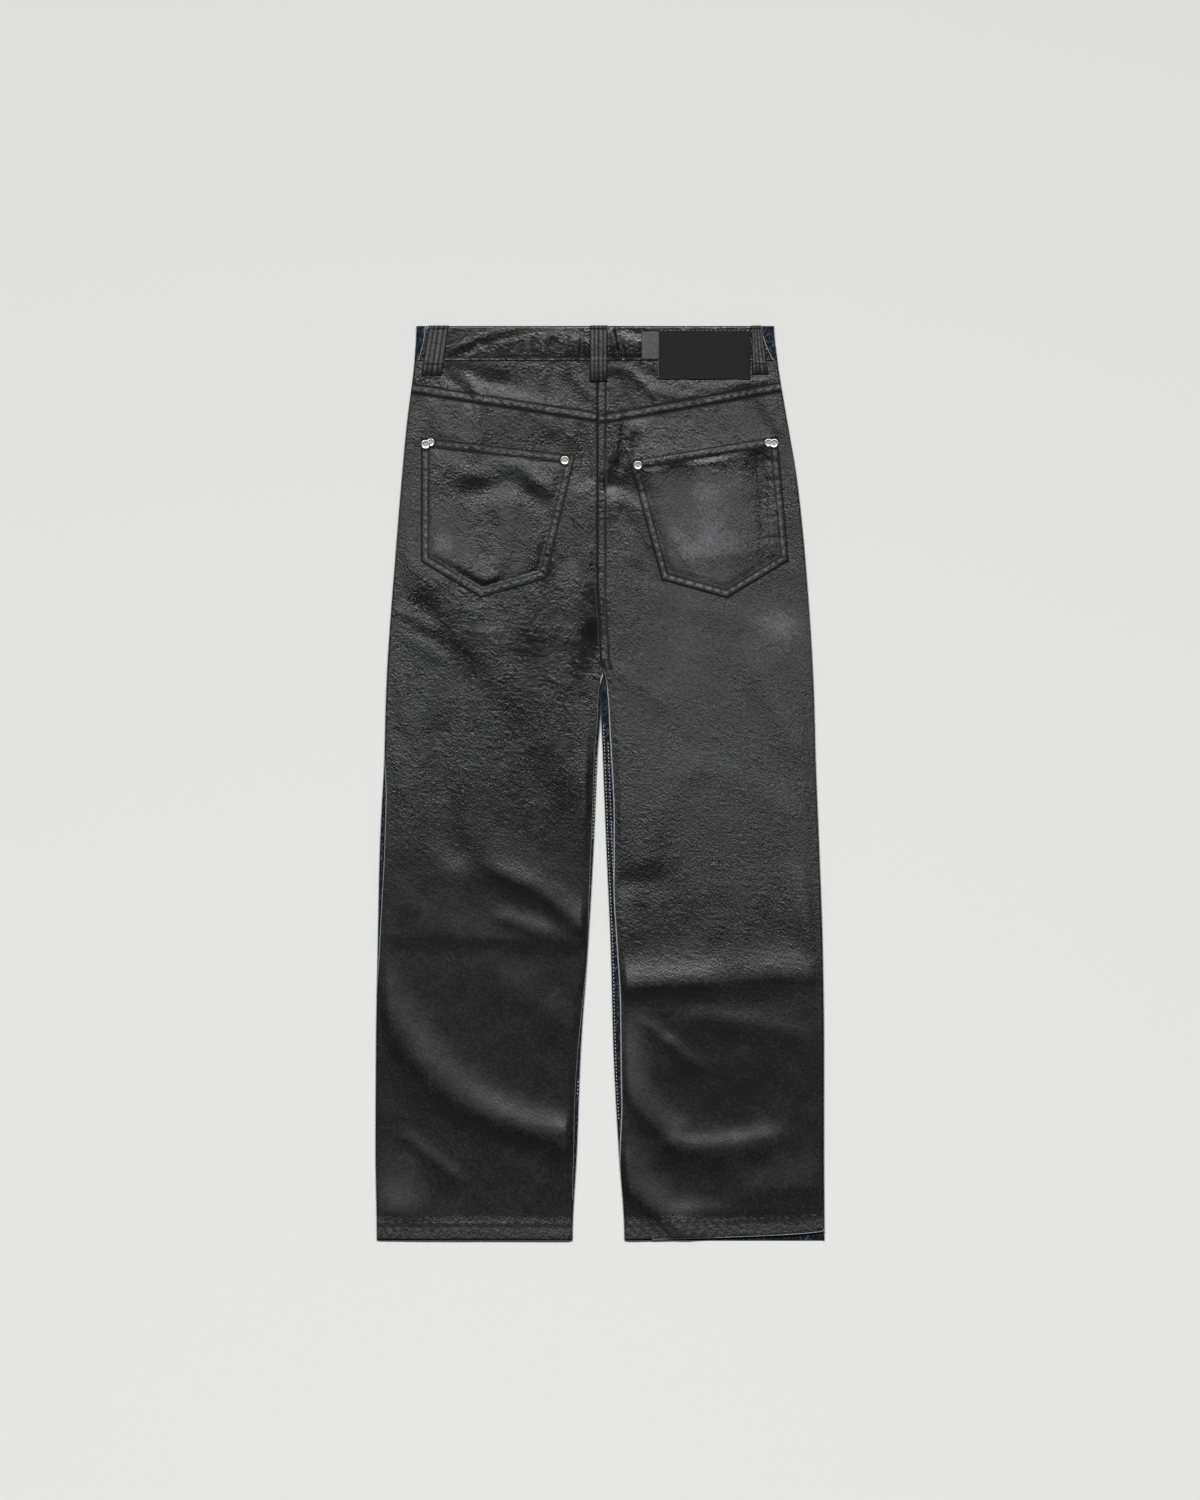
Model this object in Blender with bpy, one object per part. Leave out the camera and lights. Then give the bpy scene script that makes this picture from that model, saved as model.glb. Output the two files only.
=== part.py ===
"""Waxed jeans laid flat, face down, with the waxed back uppermost.

The garment is a pair of flattened tubes. Its front panels lie on the floor, roll up round each edge and
meet the back panels there, or a little way in over the top. Everything is worked out from two tables:
the outline of the whole garment, and how much of the front shows past the back along each edge.

X runs across, towards the wearer's right, Y up to the waist and Z away from the floor.
A drop is a distance down from the waist's edge. The sizes are in millimetres until a point is placed.
"""

import math
from collections import namedtuple

import bmesh
import bpy
from mathutils import Vector

MM = 0.001

# Whole garment
LENGTH = 1050.0
WAISTBAND_DEPTH = 40.2
CROTCH_DROP = 393.0
HEM_DEPTH = 17.5
EDGE_RADIUS = 2.6
QUARTER_ROLL = EDGE_RADIUS * math.pi / 2

# Cloth
CLOTH = 1.2
WAISTBAND_CLOTH = 2.4
TURNED_CLOTH = 0.8
SEAM_BAND = 9.0
STEP = 0.6
SEAM_GAP = 0.3
ROLL_GAP = 0.5
LAID_GAP = 0.4
# the back's lining side stays below this, so its largest folds don't part it from the front
INSIDE_TOP = 5.6
EDGE_EASE = 18.0
INNER_EASE = 10.0
CROTCH_EASE = 70.0

# Centre lines and the closed fly. The legs part a little right of the back's seam.
FRONT_SEAM_X = 1.0
BACK_SEAM_X = -3.0
TIP_SHIFT = 3.0
TIP_LENGTH = 9.0
SEAM_LEANS = 300.0
FLY_WIDTH = 40.0
FLY_LENGTH = 175.0
FLY_CURVE = 45.0
FLY_ROOM = 0.5
FLY_DROPS = (WAISTBAND_DEPTH + SEAM_GAP, 90.0, 130.0, 145.0, 157.0, 166.0, 171.5, 174.2)

# The button props the waist up from the floor a little
BUTTON_RADIUS = 8.5
BUTTON_THICKNESS = 2.3
BUTTON_DROP = 19.5
BUTTON_LIFT = 2.9
LIFT_ACROSS = 45.0
LIFT_ALONG = 35.0
LIFT_FLOOR = 0.02

# Trims
LOOP_CLOTH = 1.8
RIB_HEIGHT = 0.5
LOOP_SPANS = 8
PATCH_SPANS = 6
PATCH_LEATHER = 1.1
TAB_LEATHER = 0.8
RIVET_RADIUS = 5.4
RIVET_HEIGHT = 1.7
LAPPED_RIVET_RADIUS = 4.6
RIVET_SIDES = 16
BUTTON_SIDES = 20

# The outline of the whole garment: where each leg's outer and inner edge lies at each drop.
Edges = namedtuple("Edges", "drop outer_left inner_left inner_right outer_right")
OUTLINE = (
    Edges(0.0, -211.0, 1.0, 1.0, 200.0),
    Edges(43.5, -213.5, 1.0, 1.0, 204.5),
    Edges(108.0, -221.5, 1.0, 1.0, 215.0),
    Edges(177.0, -228.0, 1.0, 1.0, 226.5),
    Edges(269.0, -235.5, 1.0, 1.0, 236.0),
    Edges(393.0, -244.5, 0.8, 1.2, 244.5),
    Edges(443.5, -246.5, 0.6, 1.4, 246.5),
    Edges(487.0, -247.5, -2.5, 3.0, 247.5),
    Edges(602.0, -253.0, -7.5, 7.5, 252.0),
    Edges(717.0, -255.5, -14.0, 12.5, 256.0),
    Edges(831.5, -257.5, -22.0, 15.5, 257.5),
    Edges(946.5, -258.0, -26.5, 21.5, 257.5),
    Edges(1050.5, -256.5, -31.5, 28.0, 258.0),
)
# How much of the front shows past the back at each of those edges, as it rolls over the top.
SHOWING = (
    Edges(0.0, 9.8, 0.0, 0.0, 13.8),
    Edges(35.5, 5.2, 0.0, 0.0, 6.3),
    Edges(43.5, 0.6, 0.0, 0.0, 0.0),
    Edges(60.0, 0.0, 0.0, 0.0, 0.0),
    Edges(380.0, 0.0, 0.0, 0.0, 0.0),
    Edges(393.0, 0.0, -3.0, 3.2, 0.0),
    Edges(406.5, 0.0, 0.4, 6.3, 0.0),
    Edges(424.0, 0.0, 2.8, 8.0, 0.0),
    Edges(443.5, 0.0, 3.4, 9.2, 0.0),
    Edges(487.0, 0.2, 3.6, 9.8, 0.0),
    Edges(544.5, 4.6, 3.1, 10.6, 0.0),
    Edges(602.0, 5.6, 3.0, 8.7, 0.0),
    Edges(659.5, 3.9, 2.1, 6.2, 0.0),
    Edges(717.0, 2.1, 0.5, 7.5, 0.0),
    Edges(774.5, 0.0, 1.5, 9.4, 0.0),
    Edges(889.0, 0.0, 4.6, 6.7, 0.0),
    Edges(975.5, 0.0, 2.9, 0.0, 0.0),
    Edges(1050.5, 0.0, 0.0, 0.0, 0.0),
)
# Drops of the yoke's lower seam and of the back's hem, from the outer edge to the centre seam or inseam.
Run = namedtuple("Run", "outer inner")
YOKE_SEAM = {-1: Run(75.8, 109.1), 1: Run(74.1, 112.0)}
BACK_HEM = {-1: Run(1048.6, 1049.2), 1: Run(1037.5, 1049.2)}
HEM_CURVE = 0.45

# The largest folds. Each has a crest from one end to the other, bowed to its left hand by bow, which
# falls away over one width on that hand and another on the other. A negative height is a trough.
Fold = namedtuple("Fold", "x0 drop0 x1 drop1 bow left_width right_width height")
FOLDS = (
    # left leg: sweep over the shin, knee crease, bent fold above it, troughs on the thigh
    Fold(-239.0, 774.0, -28.5, 933.0, -40.0, 32.0, 34.0, 2.7),
    Fold(-225.0, 700.0, -17.0, 706.0, 0.0, 24.0, 7.0, 1.4),
    Fold(-167.0, 620.0, -20.0, 680.0, 14.0, 18.0, 9.0, 1.8),
    Fold(-195.0, 430.0, -172.0, 613.0, 0.0, 12.0, 16.0, -1.3),
    Fold(-212.0, 305.0, -126.0, 418.0, 0.0, 18.0, 22.0, -1.4),
    Fold(-95.0, 430.0, -40.0, 515.0, 0.0, 18.0, 18.0, 0.8),
    # right leg: knee crest, two sweeps above the hem, ring round the thigh, ridge at its side
    Fold(25.0, 757.0, 230.0, 742.0, 0.0, 42.0, 9.0, 2.5),
    Fold(25.0, 878.0, 255.0, 878.0, -69.0, 30.0, 20.0, 2.1),
    Fold(30.0, 947.0, 105.0, 1020.0, -8.0, 24.0, 18.0, 2.0),
    Fold(46.0, 602.0, 230.0, 613.5, 105.0, 15.0, 30.0, 0.9),
    Fold(181.0, 395.0, 220.0, 481.0, 0.0, 16.0, 16.0, 1.4),
    # seat: the hollow above the right pocket and the ones beside the centre seam
    Fold(46.0, 145.0, 195.0, 120.0, 0.0, 14.0, 12.0, -1.0),
    Fold(-14.0, 290.0, -9.0, 385.0, 0.0, 9.0, 14.0, -1.0),
    Fold(26.0, 165.0, 22.0, 290.0, 0.0, 14.0, 9.0, -0.9),
)
LOFT = 0.6
LOFT_EASE = 60.0

# Back pockets: corners as x and drop, the rows run from the opening down to the point.
Pocket = namedtuple("Pocket", "top_left top_right bottom_left point bottom_right")
POCKETS = {
    "pocket_left": Pocket((-205.5, 128.0), (-28.0, 148.5), (-205.5, 270.5), (-136.5, 312.0), (-62.0, 290.0)),
    "pocket_right": Pocket((33.5, 155.0), (204.0, 126.5), (70.5, 291.5), (146.0, 312.5), (217.0, 269.5)),
}
POCKET_BAND = 9.5
POCKET_SIZE = 160.0
# The slack cloth of each pocket, as folds in its own wall.
POCKET_FOLDS = (
    Fold(-116.0, 180.0, -70.0, 202.0, 0.0, 12.0, 14.0, -0.7),
    Fold(-190.0, 262.0, -140.0, 285.0, 0.0, 22.0, 12.0, 0.7),
    Fold(88.0, 158.0, 106.0, 250.0, 0.0, 10.0, 9.0, -0.8),
    Fold(182.0, 150.0, 184.0, 262.0, 0.0, 12.0, 10.0, -0.7),
    Fold(128.0, 180.0, 150.0, 285.0, 0.0, 24.0, 20.0, 0.7),
)

# Belt loops: x of each side at the top and at the foot, and the drops they run between.
Loop = namedtuple("Loop", "top_left top_right foot_left foot_right top foot")
LOOPS = {
    "loop_left": Loop(-196.0, -173.5, -205.5, -182.0, -0.5, 56.5),
    "loop_centre": Loop(-11.5, 8.5, -11.5, 8.5, -0.5, 63.5),
    "loop_right": Loop(174.0, 185.2, 174.8, 193.6, -0.5, 55.0),
}
PATCH = Loop(67.0, 172.6, 67.0, 172.6, 4.8, 61.2)
TAB = Loop(48.0, 66.6, 48.0, 66.6, 6.6, 38.0)

# Rivets: x and drop. The lapped one of each outer pair lies half under its neighbour.
RIVETS = {
    "rivet_left_outer": (-200.5, 136.0),
    "rivet_left_inner": (-40.5, 154.5),
    "rivet_right_outer": (200.0, 135.0),
    "rivet_right_inner": (43.5, 160.0),
}
LAPPED_RIVETS = {
    "rivet_left_lapped": ((-194.0, 134.0), "rivet_left_outer"),
    "rivet_right_lapped": ((193.8, 133.5), "rivet_right_outer"),
}

# Columns across a panel: steps in along the cloth from its outer and inner edges, and shares between.
BACK_STEPS = (0.0, 1.4, 2.8, 4.3, 9.0)
INNER_STEPS = (0.0, 1.6, 4.3, SEAM_BAND, SEAM_BAND + STEP)
BACK_MIDDLES = 10
FRONT_EDGE_COLUMNS = 5
FRONT_MIDDLES = 4
FRONT_REACH = 10.0
HALF_WIDTH = 240.0
# Rows below the crotch: short steps where the front climbs round the inseam, then even ones.
CROTCH_STEPS = (6.0, 13.0, 21.0, 31.0, 46.0)
SEAT_ROWS = 10
LEG_ROWS = 26
WAISTBAND_SPANS = 15

FINISHES = {
    "waxed_denim": ((0.018, 0.018, 0.018), 0.45, 0.0),
    "indigo_denim": ((0.012, 0.018, 0.035), 0.85, 0.0),
    "patch_leather": ((0.006, 0.006, 0.006), 0.6, 0.0),
    "rivet_metal": ((0.75, 0.75, 0.74), 0.35, 1.0),
}


def mix(a, b, share):
    return a + (b - a) * share


def eased(share):
    share = min(1.0, max(0.0, share))
    return share * share * (3.0 - 2.0 * share)


def along(table, drop, column):
    """One column of a table at a drop, on a smooth curve that never swings past its rows."""
    drops = [row.drop for row in table]
    values = [getattr(row, column) for row in table]
    slopes = [(values[i + 1] - values[i]) / (drops[i + 1] - drops[i]) for i in range(len(table) - 1)]

    def tangent(i):
        if i == 0 or i == len(slopes) or slopes[i - 1] * slopes[i] <= 0.0:
            return 0.0
        return 2.0 / (1.0 / slopes[i - 1] + 1.0 / slopes[i])

    i = max(k for k in range(len(slopes)) if k == 0 or drops[k] <= drop)
    span = drops[i + 1] - drops[i]
    t = min(1.0, max(0.0, (drop - drops[i]) / span))
    bend = t * (1.0 - t) * span * ((1.0 - t) * (tangent(i) - slopes[i]) - t * (tangent(i + 1) - slopes[i]))
    return mix(values[i], values[i + 1], t) + bend


def edge_name(side, place):
    return f"{place}_{'left' if side < 0 else 'right'}"


def outline(side, place, drop):
    return along(OUTLINE, drop, edge_name(side, place))


def showing(side, place, drop):
    return along(SHOWING, drop, edge_name(side, place))


def inward(side, place):
    """The sign of X from an edge into the leg."""
    return -side if place == "outer" else side


def rolled(run):
    """Inset, height and inward direction on a rolled edge, run along the cloth from its outermost line."""
    if run >= QUARTER_ROLL:
        return EDGE_RADIUS + run - QUARTER_ROLL, 2.0 * EDGE_RADIUS, (0.0, -1.0)
    if run <= -QUARTER_ROLL:
        return EDGE_RADIUS - run - QUARTER_ROLL, 0.0, (0.0, 1.0)
    turn = run / EDGE_RADIUS
    height = EDGE_RADIUS * (1.0 + math.sin(turn))
    return EDGE_RADIUS * (1.0 - math.cos(turn)), height, (math.cos(turn), -math.sin(turn))


def seam_run(shown):
    """Where along the rolled cloth the seam lies, so that this much of the front shows from above."""
    if shown >= EDGE_RADIUS:
        return QUARTER_ROLL + shown - EDGE_RADIUS
    return EDGE_RADIUS * math.acos(1.0 - max(0.0, shown) / EDGE_RADIUS)


def back_seam_x(drop):
    """The centre back seam, which leans to the crotch point at its foot."""
    lean = mix(BACK_SEAM_X, FRONT_SEAM_X, eased((drop - SEAM_LEANS) / (CROTCH_DROP - SEAM_LEANS)))
    return lean + TIP_SHIFT * eased((drop - CROTCH_DROP + TIP_LENGTH) / TIP_LENGTH)


def yoke_drop(side, share):
    return mix(YOKE_SEAM[side].outer, YOKE_SEAM[side].inner, share)


def back_hem_drop(side, share):
    return mix(BACK_HEM[side].outer, BACK_HEM[side].inner, share**HEM_CURVE)


def lift(x, drop):
    """How far the button props the cloth up around it."""
    bump = math.exp(-(((x - FRONT_SEAM_X) / LIFT_ACROSS) ** 2) - ((drop - BUTTON_DROP) / LIFT_ALONG) ** 2)
    return BUTTON_LIFT * max(0.0, bump - LIFT_FLOOR)


def placed(x, drop, height):
    return Vector((x, LENGTH / 2.0 - drop, height + lift(x, drop))) * MM


def fold_height(folds, x, drop):
    total = 0.0
    for fold in folds:
        dx, dd = fold.x1 - fold.x0, fold.drop1 - fold.drop0
        span = math.hypot(dx, dd)
        share = ((x - fold.x0) * dx + (drop - fold.drop0) * dd) / span**2
        held = min(1.0, max(0.0, share))
        past = abs(share - held) * span
        bowed = fold.bow * 4.0 * held * (1.0 - held)
        away = ((x - fold.x0) * dd - (drop - fold.drop0) * dx) / span - bowed
        width = fold.left_width if away > 0.0 else fold.right_width
        total += fold.height * math.exp(-((away / width) ** 2) - (past / fold.left_width) ** 2)
    return total


def leg_side(x, drop):
    return -1 if x < back_seam_x(drop) else 1


def relief(x, drop):
    """Loft and folds of the back. They die out towards its edges, and below the crotch towards the inseam."""
    side = leg_side(x, drop)
    in_from = {}
    for place in ("outer", "inner"):
        edge = outline(side, place, drop) + inward(side, place) * showing(side, place, drop)
        in_from[place] = (x - edge) * inward(side, place)
    rise = fold_height(FOLDS, x, drop) + LOFT * eased(in_from["outer"] / LOFT_EASE)
    at_inner = mix(1.0, eased(in_from["inner"] / INNER_EASE), eased((drop - CROTCH_DROP) / CROTCH_EASE))
    return rise * eased(in_from["outer"] / EDGE_EASE) * at_inner


def share_across(side, x, drop):
    outer = outline(side, "outer", drop)
    inner = back_seam_x(drop) if drop <= CROTCH_DROP else outline(side, "inner", drop)
    return min(1.0, max(0.0, (x - outer) / (inner - outer)))


def seam_rise(x, drop):
    """The extra height of turned and felled cloth on the back: waistband, seam bands and hem."""
    side = leg_side(x, drop)
    if drop <= WAISTBAND_DEPTH:
        return TURNED_CLOTH
    share = share_across(side, x, drop)
    over_yoke_seam = yoke_drop(side, share) - drop
    if 0.0 <= over_yoke_seam <= SEAM_BAND + 1e-6:
        return TURNED_CLOTH
    if back_hem_drop(side, share) - drop <= HEM_DEPTH + 1e-6:
        return TURNED_CLOTH
    if side > 0 and drop <= CROTCH_DROP and x - back_seam_x(drop) <= SEAM_BAND + SEAM_GAP:
        return TURNED_CLOTH
    return 0.0


def back_top(x, drop):
    return 2.0 * EDGE_RADIUS + relief(x, drop) + seam_rise(x, drop)


def clear_over(top, x, drop, reach=6.0):
    """The lowest height that clears everything on a surface within reach of a place."""
    around = [(x + i * reach, drop + j * reach) for i in (-1, 0, 1) for j in (-1, 0, 1)]
    return max(top(*place) for place in around) + LAID_GAP


def add_object(name, bm, finish):
    bmesh.ops.recalc_face_normals(bm, faces=bm.faces[:])
    mesh = bpy.data.meshes.new(name)
    bm.to_mesh(mesh)
    bm.free()
    mesh.shade_smooth()
    mesh.set_sharp_from_angle(angle=math.radians(35.0))
    material = bpy.data.materials.get(finish) or new_material(finish)
    mesh.materials.append(material)
    thing = bpy.data.objects.new(name, mesh)
    bpy.context.scene.collection.objects.link(thing)
    return thing


def new_material(finish):
    colour, roughness, metallic = FINISHES[finish]
    material = bpy.data.materials.new(finish)
    material.use_nodes = True
    shader = material.node_tree.nodes["Principled BSDF"]
    shader.inputs["Base Color"].default_value = (*colour, 1.0)
    shader.inputs["Roughness"].default_value = roughness
    shader.inputs["Metallic"].default_value = metallic
    return material


def cloth_wall(name, finish, columns, rows, wall):
    """One closed wall of cloth. wall(column, row) gives its outer point and the inner one under it."""
    bm = bmesh.new()
    across, down = len(columns) - 1, len(rows) - 1
    bmesh.ops.create_grid(bm, x_segments=across, y_segments=down, size=0.5)
    far = bmesh.ops.extrude_face_region(bm, geom=bm.faces[:], use_keep_orig=True)
    inner = {item for item in far["geom"] if isinstance(item, bmesh.types.BMVert)}
    for vert in bm.verts:
        column = columns[round((vert.co.x + 0.5) * across)]
        row = rows[round((0.5 - vert.co.y) * down)]
        vert.co = wall(column, row)[vert in inner]
    return add_object(name, bm, finish)


def edge_and_middle_columns(outer_steps, middles, inner_steps):
    columns = [("outer", step) for step in outer_steps]
    columns += [("middle", k / (middles + 1.0)) for k in range(1, middles + 1)]
    return columns + [("inner", step) for step in reversed(inner_steps)]


def column_share(column, outer_last, inner_last):
    """How far across its half a column lies, from 0 at the outer edge to 1 at the centre or inseam."""
    kind, value = column
    if kind == "outer":
        return value / HALF_WIDTH
    if kind == "inner":
        return 1.0 - value / HALF_WIDTH
    return mix(outer_last / HALF_WIDTH, 1.0 - inner_last / HALF_WIDTH, value)


def back_section(side, column, drop):
    """X, height and inward direction of the back's outer face at one column of a section."""
    kind, value = column
    if kind == "middle":
        first = back_section(side, ("outer", BACK_STEPS[-1]), drop)[0]
        last = back_section(side, ("inner", INNER_STEPS[-1]), drop)[0]
        return mix(first, last, value), 2.0 * EDGE_RADIUS, (0.0, -1.0)
    if kind == "inner" and drop <= CROTCH_DROP:
        return back_seam_x(drop) + side * (SEAM_GAP / 2.0 + value), 2.0 * EDGE_RADIUS, (0.0, -1.0)
    shown = showing(side, kind, drop)
    inset, height, (across, up) = rolled(seam_run(shown) + value)
    if kind == "inner":
        # just below the crotch the seam still lies flat on top, and the roll comes in further down
        roll = eased((drop - CROTCH_DROP - 40.0) / 40.0)
        inset, height = mix(shown + value, inset, roll), mix(2.0 * EDGE_RADIUS, height, roll)
        across, up = across * roll, mix(-1.0, up, roll)
    toward = inward(side, kind)
    size = math.hypot(across, up)
    return outline(side, kind, drop) + toward * inset, height, (toward * across / size, up / size)


def back_wall(side, thickness):
    """Makes the wall function of a back piece: its rows give the drop at each share across."""

    def wall(column, row):
        share = column_share(column, BACK_STEPS[-1], INNER_STEPS[-1])
        drop = row(share)
        x, height, (across, up) = back_section(side, column, drop)
        top = height + relief(x, drop) + seam_rise(x, drop) * (up < -0.9)
        under = min(top + up * thickness, INSIDE_TOP)
        return placed(x, drop, top), placed(x + across * thickness, drop, under)

    return wall


def rows_below_crotch(side):
    """Rows that the front and back of a leg share, from the crotch to just above the back's hem."""
    rows = [lambda s, step=step: CROTCH_DROP + step for step in CROTCH_STEPS]
    start = CROTCH_DROP + CROTCH_STEPS[-1]
    for k in range(1, LEG_ROWS + 1):
        share = k / LEG_ROWS
        rows.append(lambda s, t=share: mix(start, back_hem_drop(side, s) - HEM_DEPTH - 6.0, t))
    return rows


def back_rows(side):
    """The rows of a back leg panel, each a function of the share across, from the yoke's seam to the hem."""
    rows = []
    for k in range(SEAT_ROWS + 1):
        rows.append(lambda s, k=k: mix(yoke_drop(side, s) + SEAM_GAP, CROTCH_DROP, k / SEAT_ROWS))
    rows += rows_below_crotch(side)
    for above in (HEM_DEPTH + STEP, HEM_DEPTH, 0.0):
        rows.append(lambda s, above=above: back_hem_drop(side, s) - above)
    return rows


def make_back_legs():
    columns = edge_and_middle_columns(BACK_STEPS, BACK_MIDDLES, INNER_STEPS)
    for side in (-1, 1):
        cloth_wall(edge_name(side, "back"), "waxed_denim", columns, back_rows(side), back_wall(side, CLOTH))


def make_yokes():
    columns = edge_and_middle_columns(BACK_STEPS, BACK_MIDDLES, INNER_STEPS)
    top = WAISTBAND_DEPTH + SEAM_GAP
    for side in (-1, 1):
        band = SEAM_BAND + STEP
        rows = [lambda s, k=k, side=side: mix(top, yoke_drop(side, s) - band, k) for k in (0.0, 0.5, 1.0)]
        rows += [lambda s, up=up, side=side: yoke_drop(side, s) - up for up in (SEAM_BAND, 0.0)]
        cloth_wall(edge_name(side, "yoke"), "waxed_denim", columns, rows, back_wall(side, CLOTH))


def make_back_waistband():
    """One band right across the back, its top edge a fold."""
    columns = [(-1, step) for step in BACK_STEPS]
    columns += [(0, k / WAISTBAND_SPANS) for k in range(1, WAISTBAND_SPANS)]
    columns += [(1, step) for step in reversed(BACK_STEPS)]
    # each row's drop, and how far the fold along the top rounds it off there
    rows = ((0.0, 0.7), (1.4, 0.0), (20.0, 0.0), (WAISTBAND_DEPTH, 0.0))

    def edge_x(side, step, drop):
        return outline(side, "outer", drop) - side * (showing(side, "outer", drop) + ROLL_GAP + step)

    def wall(column, row):
        side, value = column
        drop, pinch = row
        if side:
            x = edge_x(side, value, drop)
        else:
            x = mix(edge_x(-1, BACK_STEPS[-1], drop), edge_x(1, BACK_STEPS[-1], drop), value)
        top = 2.0 * EDGE_RADIUS + TURNED_CLOTH
        return placed(x, drop, top - pinch), placed(x, drop, top - WAISTBAND_CLOTH + pinch)

    cloth_wall("waistband_back", "waxed_denim", columns, rows, wall)


def fly_width(drop, grown=0.0):
    """The closed fly's band, or the room it takes: even, then curving in to the centre seam at its foot."""
    past = max(0.0, drop - (FLY_LENGTH - FLY_CURVE)) / (FLY_CURVE + grown)
    return (FLY_WIDTH + grown) * math.sqrt(max(0.0, 1.0 - past * past))


def front_section(side, column, drop, fly):
    """X, height and inward direction of the front's outer face at one column of a section."""
    kind, value = column
    if kind == "middle":
        first = front_section(side, ("outer", 1.0), drop, fly)[0]
        last = front_section(side, ("inner", 1.0), drop, fly)[0]
        return mix(first, last, value), 0.0, (0.0, 1.0)
    if kind == "inner" and drop <= CROTCH_DROP:
        taken = fly_width(drop, FLY_ROOM) if fly else 0.0
        return FRONT_SEAM_X + side * (SEAM_GAP / 2.0 + taken + value * FRONT_REACH), 0.0, (0.0, 1.0)
    edge = seam_run(showing(side, kind, drop)) - ROLL_GAP
    if kind == "inner":
        # from the crotch down, the edge climbs round the inseam from the floor to its place on top
        edge = mix(-QUARTER_ROLL, edge, eased((drop - CROTCH_DROP - 6.0) / 26.0))
    inset, height, (across, up) = rolled(mix(edge, -QUARTER_ROLL - FRONT_REACH, value))
    toward = inward(side, kind)
    return outline(side, kind, drop) + toward * inset, height, (toward * across, up)


def front_wall(side, thickness, fly):
    """Makes a front piece's wall function. An edge column is a share of the way along FRONT_REACH."""

    def wall(column, row):
        kind, value = column
        step = value if kind == "middle" else value * FRONT_REACH
        drop = row(column_share((kind, step), FRONT_REACH, FRONT_REACH))
        x, height, (across, up) = front_section(side, column, drop, fly)
        return placed(x, drop, height), placed(x + across * thickness, drop, height + up * thickness)

    return wall


def front_columns():
    steps = [k / (FRONT_EDGE_COLUMNS - 1.0) for k in range(FRONT_EDGE_COLUMNS)]
    return edge_and_middle_columns(steps, FRONT_MIDDLES, steps)


def make_fronts():
    """Two legs' front panels. The wearer's left one is cut back for the fly."""
    drops = [FLY_DROPS[0], 53.0, 65.5, *FLY_DROPS[1:], FLY_LENGTH + FLY_ROOM]
    drops += [210.0, 260.0, 310.0, 355.0, CROTCH_DROP]
    for side in (-1, 1):
        rows = [lambda s, drop=drop: drop for drop in drops] + rows_below_crotch(side)
        rows += [lambda s: LENGTH - HEM_DEPTH, lambda s: LENGTH + 0.5]
        wall = front_wall(side, CLOTH, side < 0)
        cloth_wall(edge_name(side, "front"), "indigo_denim", front_columns(), rows, wall)


def make_front_waistbands():
    rows = [lambda s: 0.0, lambda s: 20.0, lambda s: WAISTBAND_DEPTH]
    for side in (-1, 1):
        name = edge_name(side, "waistband_front")
        cloth_wall(name, "indigo_denim", front_columns(), rows, front_wall(side, WAISTBAND_CLOTH, False))


def make_fly():
    """The closed fly's doubled band, from the front centre seam out to its curved edge."""

    def wall(column, drop):
        x = FRONT_SEAM_X - SEAM_GAP / 2.0 - column * fly_width(drop)
        return placed(x, drop, 0.0), placed(x, drop, CLOTH + TURNED_CLOTH)

    cloth_wall("fly", "indigo_denim", (1.0, 0.5, 0.0), FLY_DROPS, wall)


def pocket_place(pocket, share, down):
    """X and drop inside a pocket's outline. Its lower edge is a wide V."""
    (lx, ld), (px, pd), (rx, rd) = pocket.bottom_left, pocket.point, pocket.bottom_right
    middle = (px - lx) / (rx - lx)
    if share <= middle:
        low = (mix(lx, px, share / middle), mix(ld, pd, share / middle))
    else:
        past = (share - middle) / (1.0 - middle)
        low = (mix(px, rx, past), mix(pd, rd, past))
    high = [mix(left, right, share) for left, right in zip(pocket.top_left, pocket.top_right)]
    return mix(high[0], low[0], down), mix(high[1], low[1], down)


def pocket_shares(middle=0.5):
    """Shares across or down a pocket, with close pairs where its turned edges end."""
    edge = POCKET_BAND / POCKET_SIZE
    step = STEP / POCKET_SIZE
    inside = [0.2, 0.34, middle, 0.66, 0.8]
    return [0.0, edge, edge + step, *inside, 1.0 - edge - step, 1.0 - edge, 1.0]


def turned(share):
    band = POCKET_BAND / POCKET_SIZE + 1e-6
    return share <= band or share >= 1.0 - band


def make_pockets():
    for name, pocket in POCKETS.items():
        middle = (pocket.point[0] - pocket.bottom_left[0]) / (pocket.bottom_right[0] - pocket.bottom_left[0])

        def wall(share, down, pocket=pocket):
            x, drop = pocket_place(pocket, share, down)
            under = clear_over(back_top, x, drop)
            rise = TURNED_CLOTH if turned(share) or turned(down) else 0.0
            slack = 0.0 if rise else max(-0.6, fold_height(POCKET_FOLDS, x, drop)) + 0.4
            return placed(x, drop, under + CLOTH + rise + slack), placed(x, drop, under)

        cloth_wall(name, "waxed_denim", pocket_shares(middle), pocket_shares(), wall)


def make_strip(name, finish, strip, thickness, shares, downs, rib=None):
    """A flat piece laid on the waist: a belt loop, the patch or the tab beside it."""

    def wall(share, down):
        drop = mix(strip.top, strip.foot, down)
        left = mix(strip.top_left, strip.foot_left, down)
        right = mix(strip.top_right, strip.foot_right, down)
        x = mix(left, right, share)
        under = clear_over(back_top, x, drop, 4.0)
        ribs = rib(share) if rib else 0.0
        return placed(x, drop, under + thickness + ribs), placed(x, drop, under)

    cloth_wall(name, finish, shares, downs, wall)


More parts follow.
